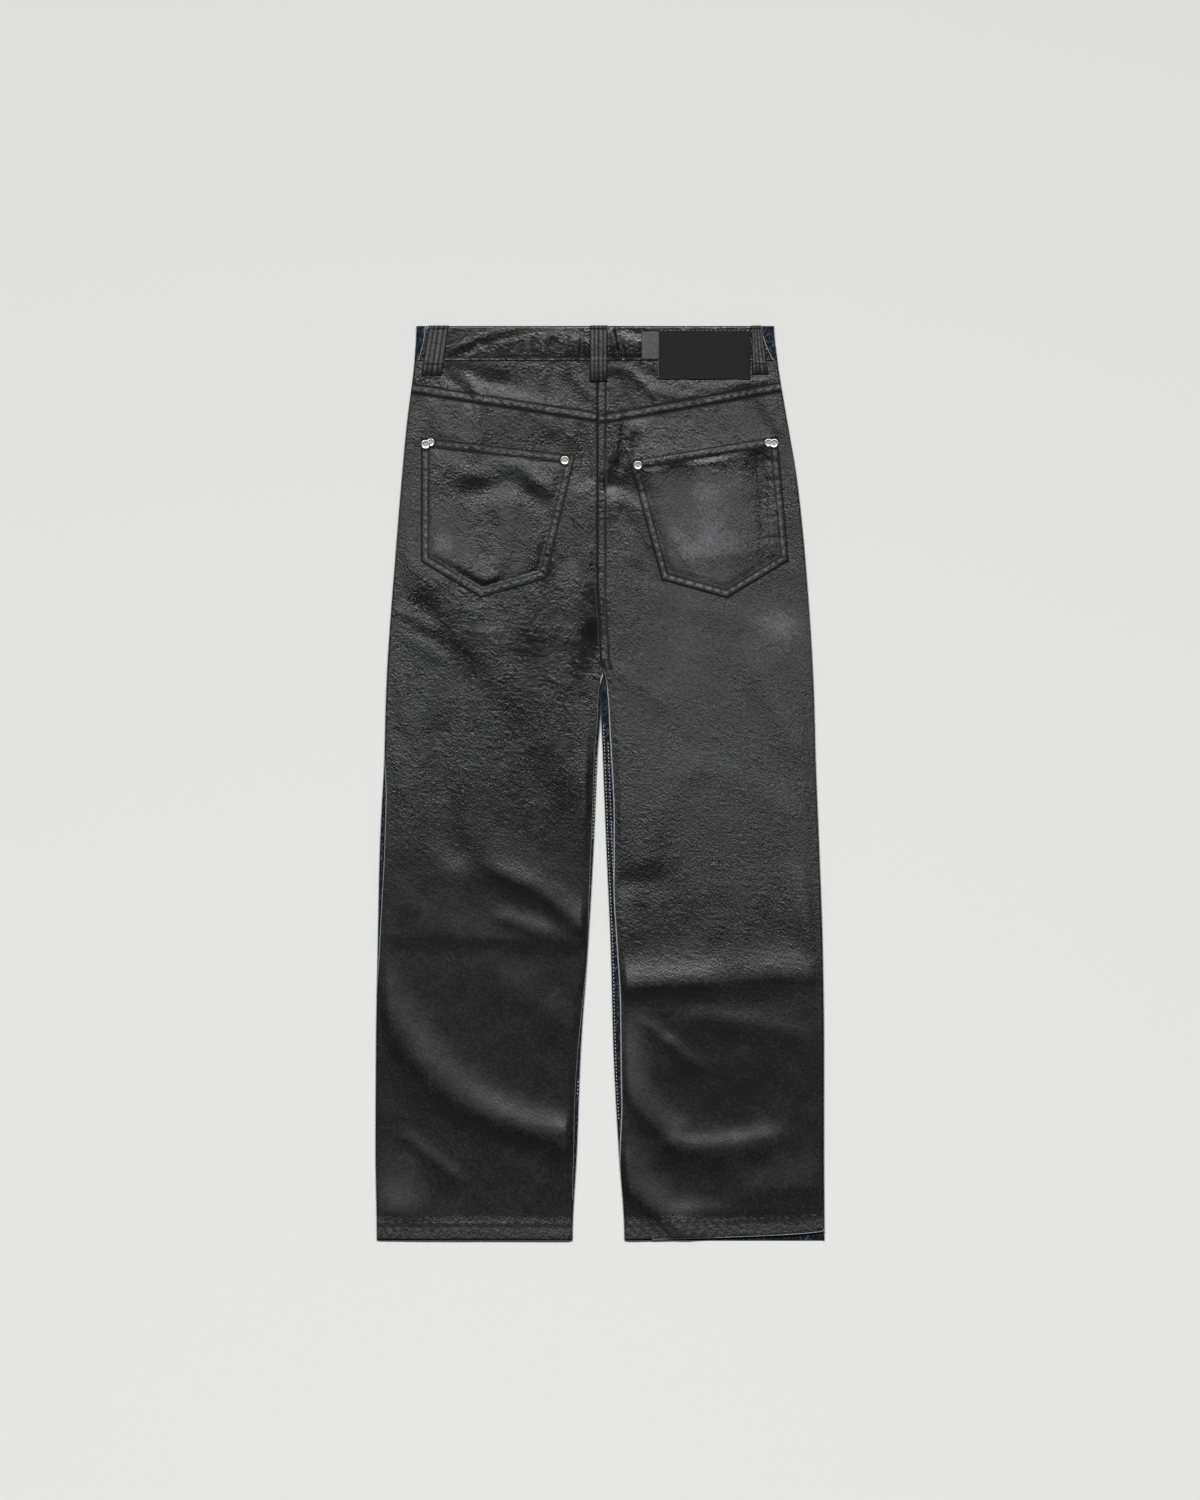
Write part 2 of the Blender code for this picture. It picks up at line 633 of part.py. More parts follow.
def make_trims():
    """Three belt loops with corded ribs, the leather patch and the tab that its edge covers."""

    def rib(share):
        return RIB_HEIGHT * (round(share * LOOP_SPANS) % 2)

    across_loop = [k / LOOP_SPANS for k in range(LOOP_SPANS + 1)]
    for name, strip in LOOPS.items():
        make_strip(name, "waxed_denim", strip, LOOP_CLOTH, across_loop, (0.0, 0.35, 0.68, 0.8, 1.0), rib)
    across_patch = [k / PATCH_SPANS for k in range(PATCH_SPANS + 1)]
    make_strip("patch", "patch_leather", PATCH, PATCH_LEATHER, across_patch, (0.0, 0.55, 0.72, 0.86, 1.0))
    make_strip("patch_tab", "patch_leather", TAB, TAB_LEATHER, (0.0, 0.5, 1.0), (0.0, 0.5, 1.0))


def turned_solid(name, finish, profile, sides):
    """A solid of revolution about Z from a profile of radius and height that starts and ends on the axis."""
    bm = bmesh.new()
    points = [bm.verts.new(Vector((radius, 0.0, height)) * MM) for radius, height in profile]
    profile = points + [bm.edges.new(pair) for pair in zip(points, points[1:])]
    turn = {"axis": (0, 0, 1), "cent": (0, 0, 0), "angle": math.tau}
    bmesh.ops.spin(bm, geom=profile, steps=sides, use_merge=True, **turn)
    bmesh.ops.remove_doubles(bm, verts=bm.verts[:], dist=1e-6)
    return add_object(name, bm, finish)


def cap_profile(radius, height):
    """A rivet's cap: flat on top, with a round shoulder."""
    shoulder = [(radius * 0.78, height), (radius * 0.93, height * 0.8), (radius, height * 0.4)]
    return [(0.0, height), *shoulder, (radius, 0.0), (0.0, 0.0)]


def pocket_top(x, drop):
    return clear_over(back_top, x, drop) + CLOTH + TURNED_CLOTH


def seat_rivet(rivet, x, drop, radius):
    base = clear_over(pocket_top, x, drop, radius)
    rivet.location = placed(x, drop, base)


def make_rivets():
    """Six caps at the pocket corners. Each outer pair touches, so one is cut back for its neighbour."""
    for name, (x, drop) in RIVETS.items():
        rivet = turned_solid(name, "rivet_metal", cap_profile(RIVET_RADIUS, RIVET_HEIGHT), RIVET_SIDES)
        seat_rivet(rivet, x, drop, RIVET_RADIUS)
    for name, ((x, drop), neighbour) in LAPPED_RIVETS.items():
        profile = cap_profile(LAPPED_RIVET_RADIUS, RIVET_HEIGHT * 0.8)
        rivet = turned_solid(name, "rivet_metal", profile, RIVET_SIDES)
        seat_rivet(rivet, x, drop, RIVET_RADIUS)
        reach = RIVET_RADIUS + SEAM_GAP
        tall = 2.0 * RIVET_HEIGHT
        column = [(0.0, tall), (reach, tall), (reach, -tall), (0.0, -tall)]
        cutter = turned_solid(name + "_cutter", "rivet_metal", column, 2 * RIVET_SIDES)
        cutter.location = bpy.data.objects[neighbour].location
        cutter.hide_render = True
        cutter.display_type = "WIRE"
        cut = rivet.modifiers.new("room_for_neighbour", "BOOLEAN")
        cut.operation = "DIFFERENCE"
        cut.object = cutter


def make_button():
    """The waist button, face down on the floor."""
    rim = BUTTON_RADIUS
    profile = [(0.0, BUTTON_THICKNESS), (rim - 0.8, BUTTON_THICKNESS), (rim, BUTTON_THICKNESS - 0.8)]
    profile += [(rim, 0.5), (rim - 0.8, 0.0), (0.0, 0.0)]
    button = turned_solid("button", "rivet_metal", profile, BUTTON_SIDES)
    button.location = Vector((FRONT_SEAM_X, LENGTH / 2.0 - BUTTON_DROP, 0.0)) * MM


def main():
    for thing in list(bpy.data.objects):
        bpy.data.objects.remove(thing)
    make_fronts()
    make_front_waistbands()
    make_fly()
    make_button()
    make_back_legs()
    make_yokes()
    make_back_waistband()
    make_pockets()
    make_trims()
    make_rivets()


main()
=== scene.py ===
"""Waxed jeans laid flat with the back uppermost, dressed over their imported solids.

Cloth is worked out as an x, a drop and a height in millimetres. x runs to the wearer's right, a drop is
the way down from the waist's edge, and a height is above the floor.
"""

import math
from collections import namedtuple

import bmesh
import bpy
import numpy as np
from mathutils import Matrix, Vector, noise


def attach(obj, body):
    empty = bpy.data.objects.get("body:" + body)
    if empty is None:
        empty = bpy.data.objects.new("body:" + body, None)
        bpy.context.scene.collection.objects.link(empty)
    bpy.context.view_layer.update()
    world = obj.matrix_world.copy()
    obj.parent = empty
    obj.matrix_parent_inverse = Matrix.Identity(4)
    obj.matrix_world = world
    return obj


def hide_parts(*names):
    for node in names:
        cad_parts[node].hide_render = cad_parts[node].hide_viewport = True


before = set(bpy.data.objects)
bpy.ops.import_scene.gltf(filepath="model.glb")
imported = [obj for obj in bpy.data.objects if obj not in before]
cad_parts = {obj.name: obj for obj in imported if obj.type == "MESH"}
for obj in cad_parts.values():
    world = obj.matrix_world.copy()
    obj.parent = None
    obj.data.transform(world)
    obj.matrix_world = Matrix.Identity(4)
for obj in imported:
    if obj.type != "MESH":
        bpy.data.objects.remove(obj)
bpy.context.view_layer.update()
MM = 0.001
scene = bpy.context.scene


# ---------------------------------------------------------------------------------------------------
# Studio. The jeans lie on a pale seamless floor and are photographed from straight above. Two
# softboxes hang past the waist, one to each side. The floor's colour grows paler towards the hems:
# painted light, standing in for light from that side.

LENGTH = 1050.0
PHOTO_HEIGHT = 1500
PIXEL = LENGTH / 914.0  # the outseam is 914 pixels of the photograph
VIEW_CENTRE = (0.0, 37.9)
CAMERA_HEIGHT = 10.0  # metres, so the view is all but parallel
CLOTH_LEVEL = 0.005  # metres from the floor to the cloth, where a pixel has the size above
FLOOR_GAP = 0.2
FLOOR_HALF = 16.0  # metres from its middle to its sides
TONE_REACH = 0.9  # metres each way from the middle over which the floor's colour grows paler, as painted light
SOFTBOX_SIZE = (1.1, 0.9)  # metres


def linear(hex_colour, alpha=1.0):
    """An sRGB hex colour as the linear one that shaders take."""
    parts = [int(hex_colour[i : i + 2], 16) / 255.0 for i in (1, 3, 5)]
    return (*(p / 12.92 if p <= 0.04045 else ((p + 0.055) / 1.055) ** 2.4 for p in parts), alpha)


def new_material(name):
    """A material with nothing but its Principled shader, which is returned with it."""
    material = bpy.data.materials.new(name)
    material.use_nodes = True
    return material, material.node_tree.nodes["Principled BSDF"]


def fill(material, node, sockets):
    """Fills sockets: one given another node's output is linked to it, and any other value is set."""
    for name, value in sockets.items():
        if isinstance(value, bpy.types.NodeSocket):
            material.node_tree.links.new(value, node.inputs[name])
        else:
            node.inputs[name].default_value = value


def add_node(material, kind, sockets=None, **settings):
    """Adds a node of this kind, sets it and fills its sockets."""
    node = material.node_tree.nodes.new("ShaderNode" + kind)
    for name, value in settings.items():
        setattr(node, name, value)
    fill(material, node, sockets or {})
    return node


camera_data = bpy.data.cameras.new("camera")
camera_data.lens = camera_data.sensor_width * (CAMERA_HEIGHT - CLOTH_LEVEL) / (PHOTO_HEIGHT * PIXEL * MM)
camera = bpy.data.objects.new("camera", camera_data)
camera.location = (VIEW_CENTRE[0] * MM, VIEW_CENTRE[1] * MM, CAMERA_HEIGHT)
scene.collection.objects.link(camera)
scene.camera = camera
scene.view_settings.view_transform = "Standard"

# where each softbox hangs, and its watts
SOFTBOXES = {"left_softbox": ((-2.2, 4.2, 7.9), 430.0), "right_softbox": ((1.9, 4.2, 7.9), 400.0)}
for name, (place, watts) in SOFTBOXES.items():
    softbox = bpy.data.lights.new(name, "AREA")
    softbox.shape = "RECTANGLE"
    softbox.size, softbox.size_y = SOFTBOX_SIZE
    softbox.energy = watts
    lamp = bpy.data.objects.new(name, softbox)
    lamp.location = place
    lamp.rotation_euler = (-lamp.location).to_track_quat("-Z", "Y").to_euler()
    lamp.visible_camera = False
    scene.collection.objects.link(lamp)

scene.world = bpy.data.worlds.new("studio_walls")
scene.world.use_nodes = True
walls = scene.world.node_tree.nodes["Background"]
fill(scene.world, walls, {"Color": linear("#f4f4f2"), "Strength": 0.12})

bm = bmesh.new()
bmesh.ops.create_grid(bm, x_segments=1, y_segments=1, size=FLOOR_HALF)
bmesh.ops.translate(bm, vec=(0, 0, -FLOOR_GAP * MM), verts=bm.verts)
floor_mesh = bpy.data.meshes.new("floor")
bm.to_mesh(floor_mesh)
bm.free()
floor = bpy.data.objects.new("floor", floor_mesh)
scene.collection.objects.link(floor)
# matt painted board: no gloss, and no pattern but its slow change of tone down the picture, which is
# painted light that grows paler towards the hems in place of a lamp on that side
floor_with_painted_light, shader = new_material("matt_floor_with_painted_light")
place = add_node(floor_with_painted_light, "TexCoord").outputs["Object"]
down = add_node(floor_with_painted_light, "VectorMath", {0: place, 1: (0.0, -1.0, 0.0)}, operation="DOT_PRODUCT")
paler = add_node(
    floor_with_painted_light, "MapRange", {"Value": down.outputs["Value"], "From Min": -TONE_REACH, "From Max": TONE_REACH}
)
tones = {"Factor": paler.outputs["Result"], 6: linear("#d7d7d6"), 7: linear("#f8f8f7")}
paint = add_node(floor_with_painted_light, "Mix", tones, data_type="RGBA")
fill(floor_with_painted_light, shader, {"Base Color": paint.outputs[2], "Roughness": 1.0, "Specular IOR Level": 0.0})
floor_mesh.materials.append(floor_with_painted_light)


# ---------------------------------------------------------------------------------------------------
# Back leg panels. Cotton twill, dyed and then waxed black, cut from the yoke to the hem. Each is felled
# to its neighbour down the centre seam and to the front at both sides, where the cloth rolls over.

EDGE_RADIUS = 2.6
QUARTER_ROLL = EDGE_RADIUS * math.pi / 2
TOP = 2.0 * EDGE_RADIUS
CLOTH = 1.2
TURNED_CLOTH = 0.8
SEAM_BAND = 9.0
STEP = 0.6
SEAM_GAP = 0.3
ROLL_GAP = 0.5
LAID_GAP = 0.4
WAISTBAND_DEPTH = 40.2
CROTCH_DROP = 393.0
HEM_DEPTH = 17.5
HEM_STITCHES = 14.6  # above the hem's edge
HEM_CURVE = 0.45
BACK_SEAM_X = -3.0
FRONT_SEAM_X = 1.0
SEAM_BEND = 300.0  # the drop from which the seat seam bends over to the front's middle
TIP_SHIFT = 3.0  # the legs part a little right of the seam, under the bartack
TIP_LENGTH = 9.0
HALF_WIDTH = 240.0  # half the garment's, and so the width of a leg
SEAM_ROLL = 40.0  # how far below the crotch the seam starts to roll over, and how far that takes

# where each leg's outer and inner edge lies at each drop
Edges = namedtuple("Edges", "drop outer_left inner_left inner_right outer_right")
OUTLINE = (
    Edges(0, -211, 1, 1, 200),
    Edges(43.5, -213.5, 1, 1, 204.5),
    Edges(108, -221.5, 1, 1, 215),
    Edges(177, -228, 1, 1, 226.5),
    Edges(269, -235.5, 1, 1, 236),
    Edges(393, -244.5, 0.8, 1.2, 244.5),
    Edges(443.5, -246.5, 0.6, 1.4, 246.5),
    Edges(487, -247.5, -2.5, 3, 247.5),
    Edges(602, -253, -7.5, 7.5, 252),
    Edges(717, -255.5, -14, 12.5, 256),
    Edges(831.5, -257.5, -22, 15.5, 257.5),
    Edges(946.5, -258, -26.5, 21.5, 257.5),
    Edges(1050.5, -256.5, -31.5, 28, 258),
)
# how much of the front shows past the back at those edges
SHOWING = (
    Edges(0, 9.8, 0, 0, 13.8),
    Edges(35.5, 5.2, 0, 0, 6.3),
    Edges(43.5, 0.6, 0, 0, 0),
    Edges(60, 0, 0, 0, 0),
    Edges(380, 0, 0, 0, 0),
    Edges(393, 0, -3, 3.2, 0),
    Edges(406.5, 0, 0.4, 6.3, 0),
    Edges(424, 0, 2.8, 8, 0),
    Edges(443.5, 0, 3.4, 9.2, 0),
    Edges(487, 0.2, 3.6, 9.8, 0),
    Edges(544.5, 4.6, 3.1, 10.6, 0),
    Edges(602, 5.6, 3, 8.7, 0),
    Edges(659.5, 3.9, 2.1, 6.2, 0),
    Edges(717, 2.1, 0.5, 7.5, 0),
    Edges(774.5, 0, 1.5, 9.4, 0),
    Edges(889, 0, 4.6, 6.7, 0),
    Edges(975.5, 0, 2.9, 0, 0),
    Edges(1050.5, 0, 0, 0, 0),
)
Run = namedtuple("Run", "outer inner")
YOKE_SEAM = {-1: Run(75.8, 109.1), 1: Run(74.1, 112.0)}
BACK_HEM = {-1: Run(1048.6, 1049.2), 1: Run(1037.5, 1049.2)}

# Creases of the back, from one end of the crest to the other. The crest is bowed to its left hand by
# bow, and falls away over one width on that hand and another on the other. Below nought is a trough.
Fold = namedtuple("Fold", "x0 drop0 x1 drop1 bow left_width right_width height")
FOLDS = (
    # left leg: sweep over the shin, knee crease, bent fold above it, long slack folds of the thigh
    Fold(-262, 735, -50, 930, -46, 26, 20, 2.4),
    Fold(-236, 698, -12, 706, 0, 26, 12, 0.75),
    Fold(-175, 618, -96, 636, 2, 22, 16, 0.3),
    Fold(-104, 634, -26, 686, 6, 20, 12, 1.6),
    Fold(-128, 600, -60, 622, 6, 16, 16, 0.2),
    Fold(-187, 470, -170, 600, -4, 16, 14, -1.3),
    Fold(-106, 682, -66, 697, 0, 11, 9, 0.5),
    Fold(-225, 262, -140, 372, 0, 40, 20, 1.4),
    Fold(-95, 420, -40, 515, 0, 20, 20, 0.5),
    Fold(-215, 938, -170, 975, 0, 10, 9, 0.6),
    Fold(-250, 1016, -225, 1020, 0, 22, 8, 0.8),
    Fold(-241, 380, -222, 455, 0, 14, 10, 0.9),
    Fold(-232, 505, -226, 660, 4, 14, 12, 0.8),
    Fold(-120, 745, -60, 790, 0, 26, 26, 0.6),
    # right leg: knee crest, two sweeps above the hem, ring round the thigh, ridges at its sides
    Fold(10, 759, 236, 744, 0, 25, 15, 1.5),
    Fold(20, 757, 110, 757, 0, 20, 13, 0.8),
    Fold(18, 846, 80, 930, -8, 24, 13, 1.8),
    Fold(92, 944, 182, 936, -4, 15, 22, 1.5),
    Fold(18, 972, 88, 1032, -4, 24, 13, 2),
    Fold(105, 1018, 215, 1014, 0, 13, 10, 0.5),
    Fold(185, 992, 250, 985, 0, 28, 16, 1.1),
    Fold(50, 640, 110, 505, 14, 16, 16, 0.5),
    Fold(100, 508, 215, 560, 14, 18, 18, 0.45),
    Fold(215, 555, 236, 680, 6, 14, 14, 0.5),
    Fold(18, 640, 50, 638, 0, 14, 18, -1),
    Fold(60, 808, 78, 822, 0, 9, 9, 0.45),
    Fold(82, 828, 106, 846, 0, 9, 9, 0.45),
    Fold(181, 400, 222, 478, 0, 14, 15, 1.3),
    Fold(228, 640, 240, 700, 0, 12, 12, 0.8),
    Fold(120, 795, 215, 812, 0, 14, 14, 0.5),
    # the right thigh's long slack rise
    Fold(60, 540, 150, 545, 0, 110, 90, 1.3),
    # seat, under the yoke: bumps left of the seam, the hollow above the right pocket
    Fold(-138, 92, -143, 132, 0, 9, 9, 0.9),
    Fold(-190, 96, -176, 124, 0, 9, 9, 0.6),
    Fold(-108, 101, -60, 104, 6, 12, 17, 0.8),
    Fold(60, 158, 208, 134, 0, 28, 14, 1.1),
    Fold(172, 86, 214, 138, -6, 11, 11, -1.4),
    Fold(20, 112, 16, 150, 0, 5, 6, 0.4),
    Fold(29, 108, 24, 160, 0, 4, 5, -0.7),
    Fold(17, 184, 46, 192, 0, 11, 9, -1),
    Fold(22, 206, 38, 208, 0, 8, 14, 0.4),
    Fold(30, 214, 57, 268, 0, 8, 8, -0.9),
    Fold(40, 278, 60, 290, 0, 8, 8, -0.6),
    Fold(-20, 118, -13, 172, 0, 7, 7, -0.8),
    Fold(-25, 196, -14, 290, 0, 9, 8, 0.7),
    Fold(-8, 285, -7, 480, 0, 5, 12, -0.55),
    Fold(-225, 330, -196, 346, 0, 9, 9, 0.7),
    Fold(-229, 352, -190, 378, 0, 9, 9, 0.6),
    Fold(120, 325, 205, 352, 0, 16, 14, 0.6),
    Fold(30, 402, 66, 430, 0, 12, 12, 0.6),
    # the lumps where both seam rows end at the bartack
    Fold(-0.7, 380, -0.7, 384, 0, 1.6, 1.6, 0.4),
    Fold(3.6, 379, 3.6, 383, 0, 1.6, 1.6, 0.4),
    # yoke: blotched hollows, the short creases that run off the belt loops
    Fold(-166, 50, -116, 64, 0, 10, 13, -0.7),
    Fold(-52, 48, -60, 92, 0, 7, 7, -0.6),
    Fold(-36, 42, -9, 80, -4, 5, 6, 0.5),
    Fold(-182, 50, -150, 82, 0, 6, 8, -0.6),
    Fold(-151, 60, -134, 85, 0, 5, 6, 0.5),
    Fold(-110, 84, -66, 90, 0, 10, 8, 0.7),
    Fold(14, 50, 46, 62, 6, 6, 6, 0.5),
    Fold(20, 60, 34, 92, 0, 6, 7, -0.6),
    Fold(44, 64, 70, 92, 4, 7, 7, 0.6),
    Fold(66, 74, 108, 80, -3, 7, 6, 0.6),
    Fold(96, 66, 150, 70, -3, 6, 6, 0.4),
    Fold(160, 66, 200, 62, 0, 6, 6, 0.5),
)
FOLD_SCALE = 1.7  # the folds stand this many times the heights in the tables
FOLD_END = 0.8  # each dies out past its ends over this share of its whole width
LOFT = 0.6
LOFT_EASE = 60.0
EDGE_EASE = 18.0
INNER_EASE = 10.0
LEGS_PART = 70.0  # below the crotch, over which the inner edges come to lie free
# cockled cloth: the size across of each layer of soft unevenness, and its height
COCKLES = ((46.0, 0.55), (21.0, 0.28), (10.0, 0.11))
COCKLED_SEAT, COCKLED_LEG = 1.9, 0.8  # how many times that height
CALMED_FROM, CALMED_OVER = 250.0, 240.0  # the drop where the one starts to turn into the other
# how closely and how high cloth is gathered by its stitching, and how many times higher in two places
PUCKER_PITCH = 7.0
PUCKER_HEIGHT = 0.2
HEM_GATHERED = 3.4
CENTRE_GATHERED = 0.7
HEM_MIDDLE = 8.0


def mix(a, b, share):
    return a + (b - a) * share


def eased(share):
    share = np.clip(share, 0.0, 1.0)
    return share * share * (3.0 - 2.0 * share)


def along(table, drop, column):
    """One column of a table at each drop, on a smooth curve that never swings past its rows."""
    drops = np.array([row.drop for row in table])
    values = np.array([getattr(row, column) for row in table])
    slopes = np.diff(values) / np.diff(drops)
    tangents = np.zeros(len(table))
    same = slopes[:-1] * slopes[1:] > 0.0
    tangents[1:-1][same] = 2.0 / (1.0 / slopes[:-1][same] + 1.0 / slopes[1:][same])
    i = np.clip(np.searchsorted(drops, drop, side="right") - 1, 0, len(slopes) - 1)
    span = drops[i + 1] - drops[i]
    t = np.clip((drop - drops[i]) / span, 0.0, 1.0)
    start, end = tangents[i] - slopes[i], tangents[i + 1] - slopes[i]
    return mix(values[i], values[i + 1], t) + t * (1.0 - t) * span * ((1.0 - t) * start - t * end)


def side_name(place, side):
    return f"{place}_{'left' if side < 0 else 'right'}"


def outline(side, place, drop):
    return along(OUTLINE, drop, side_name(place, side))


def showing(side, place, drop):
    return along(SHOWING, drop, side_name(place, side))


def rolled(run):
    """Inset, height and inward direction on a rolled edge, run along the cloth from its outermost line."""
    turn = np.clip(run, -QUARTER_ROLL, QUARTER_ROLL) / EDGE_RADIUS
    flat = np.maximum(0.0, np.abs(run) - QUARTER_ROLL)
    inset = EDGE_RADIUS * (1.0 - np.cos(turn)) + flat
    return inset, EDGE_RADIUS * (1.0 + np.sin(turn)), np.cos(turn), -np.sin(turn)


def seam_run(shown):
    """Where along the rolled cloth the seam lies, so that this much of the front shows from above."""
    turn = np.arccos(1.0 - np.clip(shown, 0.0, EDGE_RADIUS) / EDGE_RADIUS)
    return EDGE_RADIUS * turn + np.maximum(0.0, shown - EDGE_RADIUS)


def back_seam_x(drop):
    bend = mix(BACK_SEAM_X, FRONT_SEAM_X, eased((drop - SEAM_BEND) / (CROTCH_DROP - SEAM_BEND)))
    return bend + TIP_SHIFT * eased((drop - CROTCH_DROP + TIP_LENGTH) / TIP_LENGTH)


def yoke_drop(side, share):
    return mix(YOKE_SEAM[side].outer, YOKE_SEAM[side].inner, share)


def back_hem_drop(side, share):
    return mix(BACK_HEM[side].outer, BACK_HEM[side].inner, np.clip(share, 0.0, 1.0) ** HEM_CURVE)


def cockled(x, drop, seed=0.0):
    """Soft unevenness of the cloth, at each of a set of places."""
    flat_x, flat_drop = np.ravel(x), np.ravel(drop)
    total = np.zeros(flat_x.shape)
    for size, height in COCKLES:
        places = zip(flat_x, flat_drop)
        total += [height * noise.noise((a / size, d / size * 0.8, seed + size)) for a, d in places]
    return total.reshape(np.shape(x))


def fold_height(folds, x, drop):
    total = np.zeros(np.shape(x))
    for fold in folds:
        dx, dd = fold.x1 - fold.x0, fold.drop1 - fold.drop0
        span = math.hypot(dx, dd)
        share = ((x - fold.x0) * dx + (drop - fold.drop0) * dd) / span**2
        held = np.clip(share, 0.0, 1.0)
        past = np.abs(share - held) * span
        bow = fold.bow * 4.0 * held * (1.0 - held)
        away = ((x - fold.x0) * dd - (drop - fold.drop0) * dx) / span - bow
        width = np.where(away > 0.0, fold.left_width, fold.right_width)
        end = FOLD_END * (fold.left_width + fold.right_width)
        total += FOLD_SCALE * fold.height * np.exp(-((away / width) ** 2) - (past / end) ** 2)
    return total


def share_across(side, x, drop):
    outer = outline(side, "outer", drop)
    inner = np.where(drop <= CROTCH_DROP, back_seam_x(drop), outline(side, "inner", drop))
    return np.clip((x - outer) / (inner - outer), 0.0, 1.0)


def relief(side, x, drop):
    """Loft, folds and cockles of the back, which die out towards its edges."""
    outer = outline(side, "outer", drop) - side * showing(side, "outer", drop)
    inner = outline(side, "inner", drop) + side * showing(side, "inner", drop)
    nearest = (outer - x) * side
    from_inner = np.where(drop > CROTCH_DROP, (x - inner) * side, HALF_WIDTH)
    at_inner = mix(1.0, eased(from_inner / INNER_EASE), eased((drop - CROTCH_DROP) / LEGS_PART))
    cockling = mix(COCKLED_SEAT, COCKLED_LEG, eased((drop - CALMED_FROM) / CALMED_OVER))
    softness = fold_height(FOLDS, x, drop) + cockling * cockled(x, drop) + LOFT * eased(nearest / LOFT_EASE)
    return softness * eased(nearest / EDGE_EASE) * at_inner


def pucker(distance, run, reach=7.0):
    """Gathers along a line of stitches, from the distance to it and the run along it."""
    wave = np.sin(2.0 * np.pi * (run + 0.35 * distance) / PUCKER_PITCH + 1.7 * np.sin(run / 19.0))
    return PUCKER_HEIGHT * wave * np.exp(-((distance / reach) ** 2)) * (0.6 + 0.4 * np.sin(run / 31.0))


def seam_rise(side, x, drop):
    """Height added by turned and felled cloth on the back: waistband, seam bands and hem."""
    share = share_across(side, x, drop)
    over_yoke_seam = yoke_drop(side, share) - drop
    over_hem = back_hem_drop(side, share) - drop
    rise = np.zeros(np.shape(x))
    rise += TURNED_CLOTH * ((over_yoke_seam >= -1e-6) & (over_yoke_seam <= SEAM_BAND + 1e-6))
    rise = np.maximum(rise, TURNED_CLOTH * (drop <= WAISTBAND_DEPTH))
    rise = np.maximum(rise, TURNED_CLOTH * (over_hem <= HEM_DEPTH + 1e-6))
    if side > 0:
        felled = (drop <= CROTCH_DROP) & (x - back_seam_x(drop) <= SEAM_BAND + SEAM_GAP)
        rise = np.maximum(rise, TURNED_CLOTH * felled)
    past_band = np.maximum(0.0, over_yoke_seam - SEAM_BAND)
    gathers = pucker(np.where(over_yoke_seam < 0.0, -over_yoke_seam, past_band), x) * (drop > WAISTBAND_DEPTH)
    near_hem = over_hem < HEM_DEPTH + HEM_MIDDLE
    gathers += HEM_GATHERED * pucker(np.abs(over_hem - HEM_MIDDLE), 0.6 * x + 0.2 * over_hem) * near_hem
    centre = np.abs(x - back_seam_x(drop) - 0.5 * SEAM_BAND * (side > 0))
    gathers += CENTRE_GATHERED * pucker(centre, drop, 9.0) * eased((CROTCH_DROP - 6.0 - drop) / 12.0)
    return rise + gathers


def back_top(side, x, drop):
    return TOP + relief(side, x, drop) + seam_rise(side, x, drop)


def back_height(x, drop):
    """The back's top where a piece crosses the centre seam."""
    return np.where(x < back_seam_x(drop), back_top(-1, x, drop), back_top(1, x, drop))


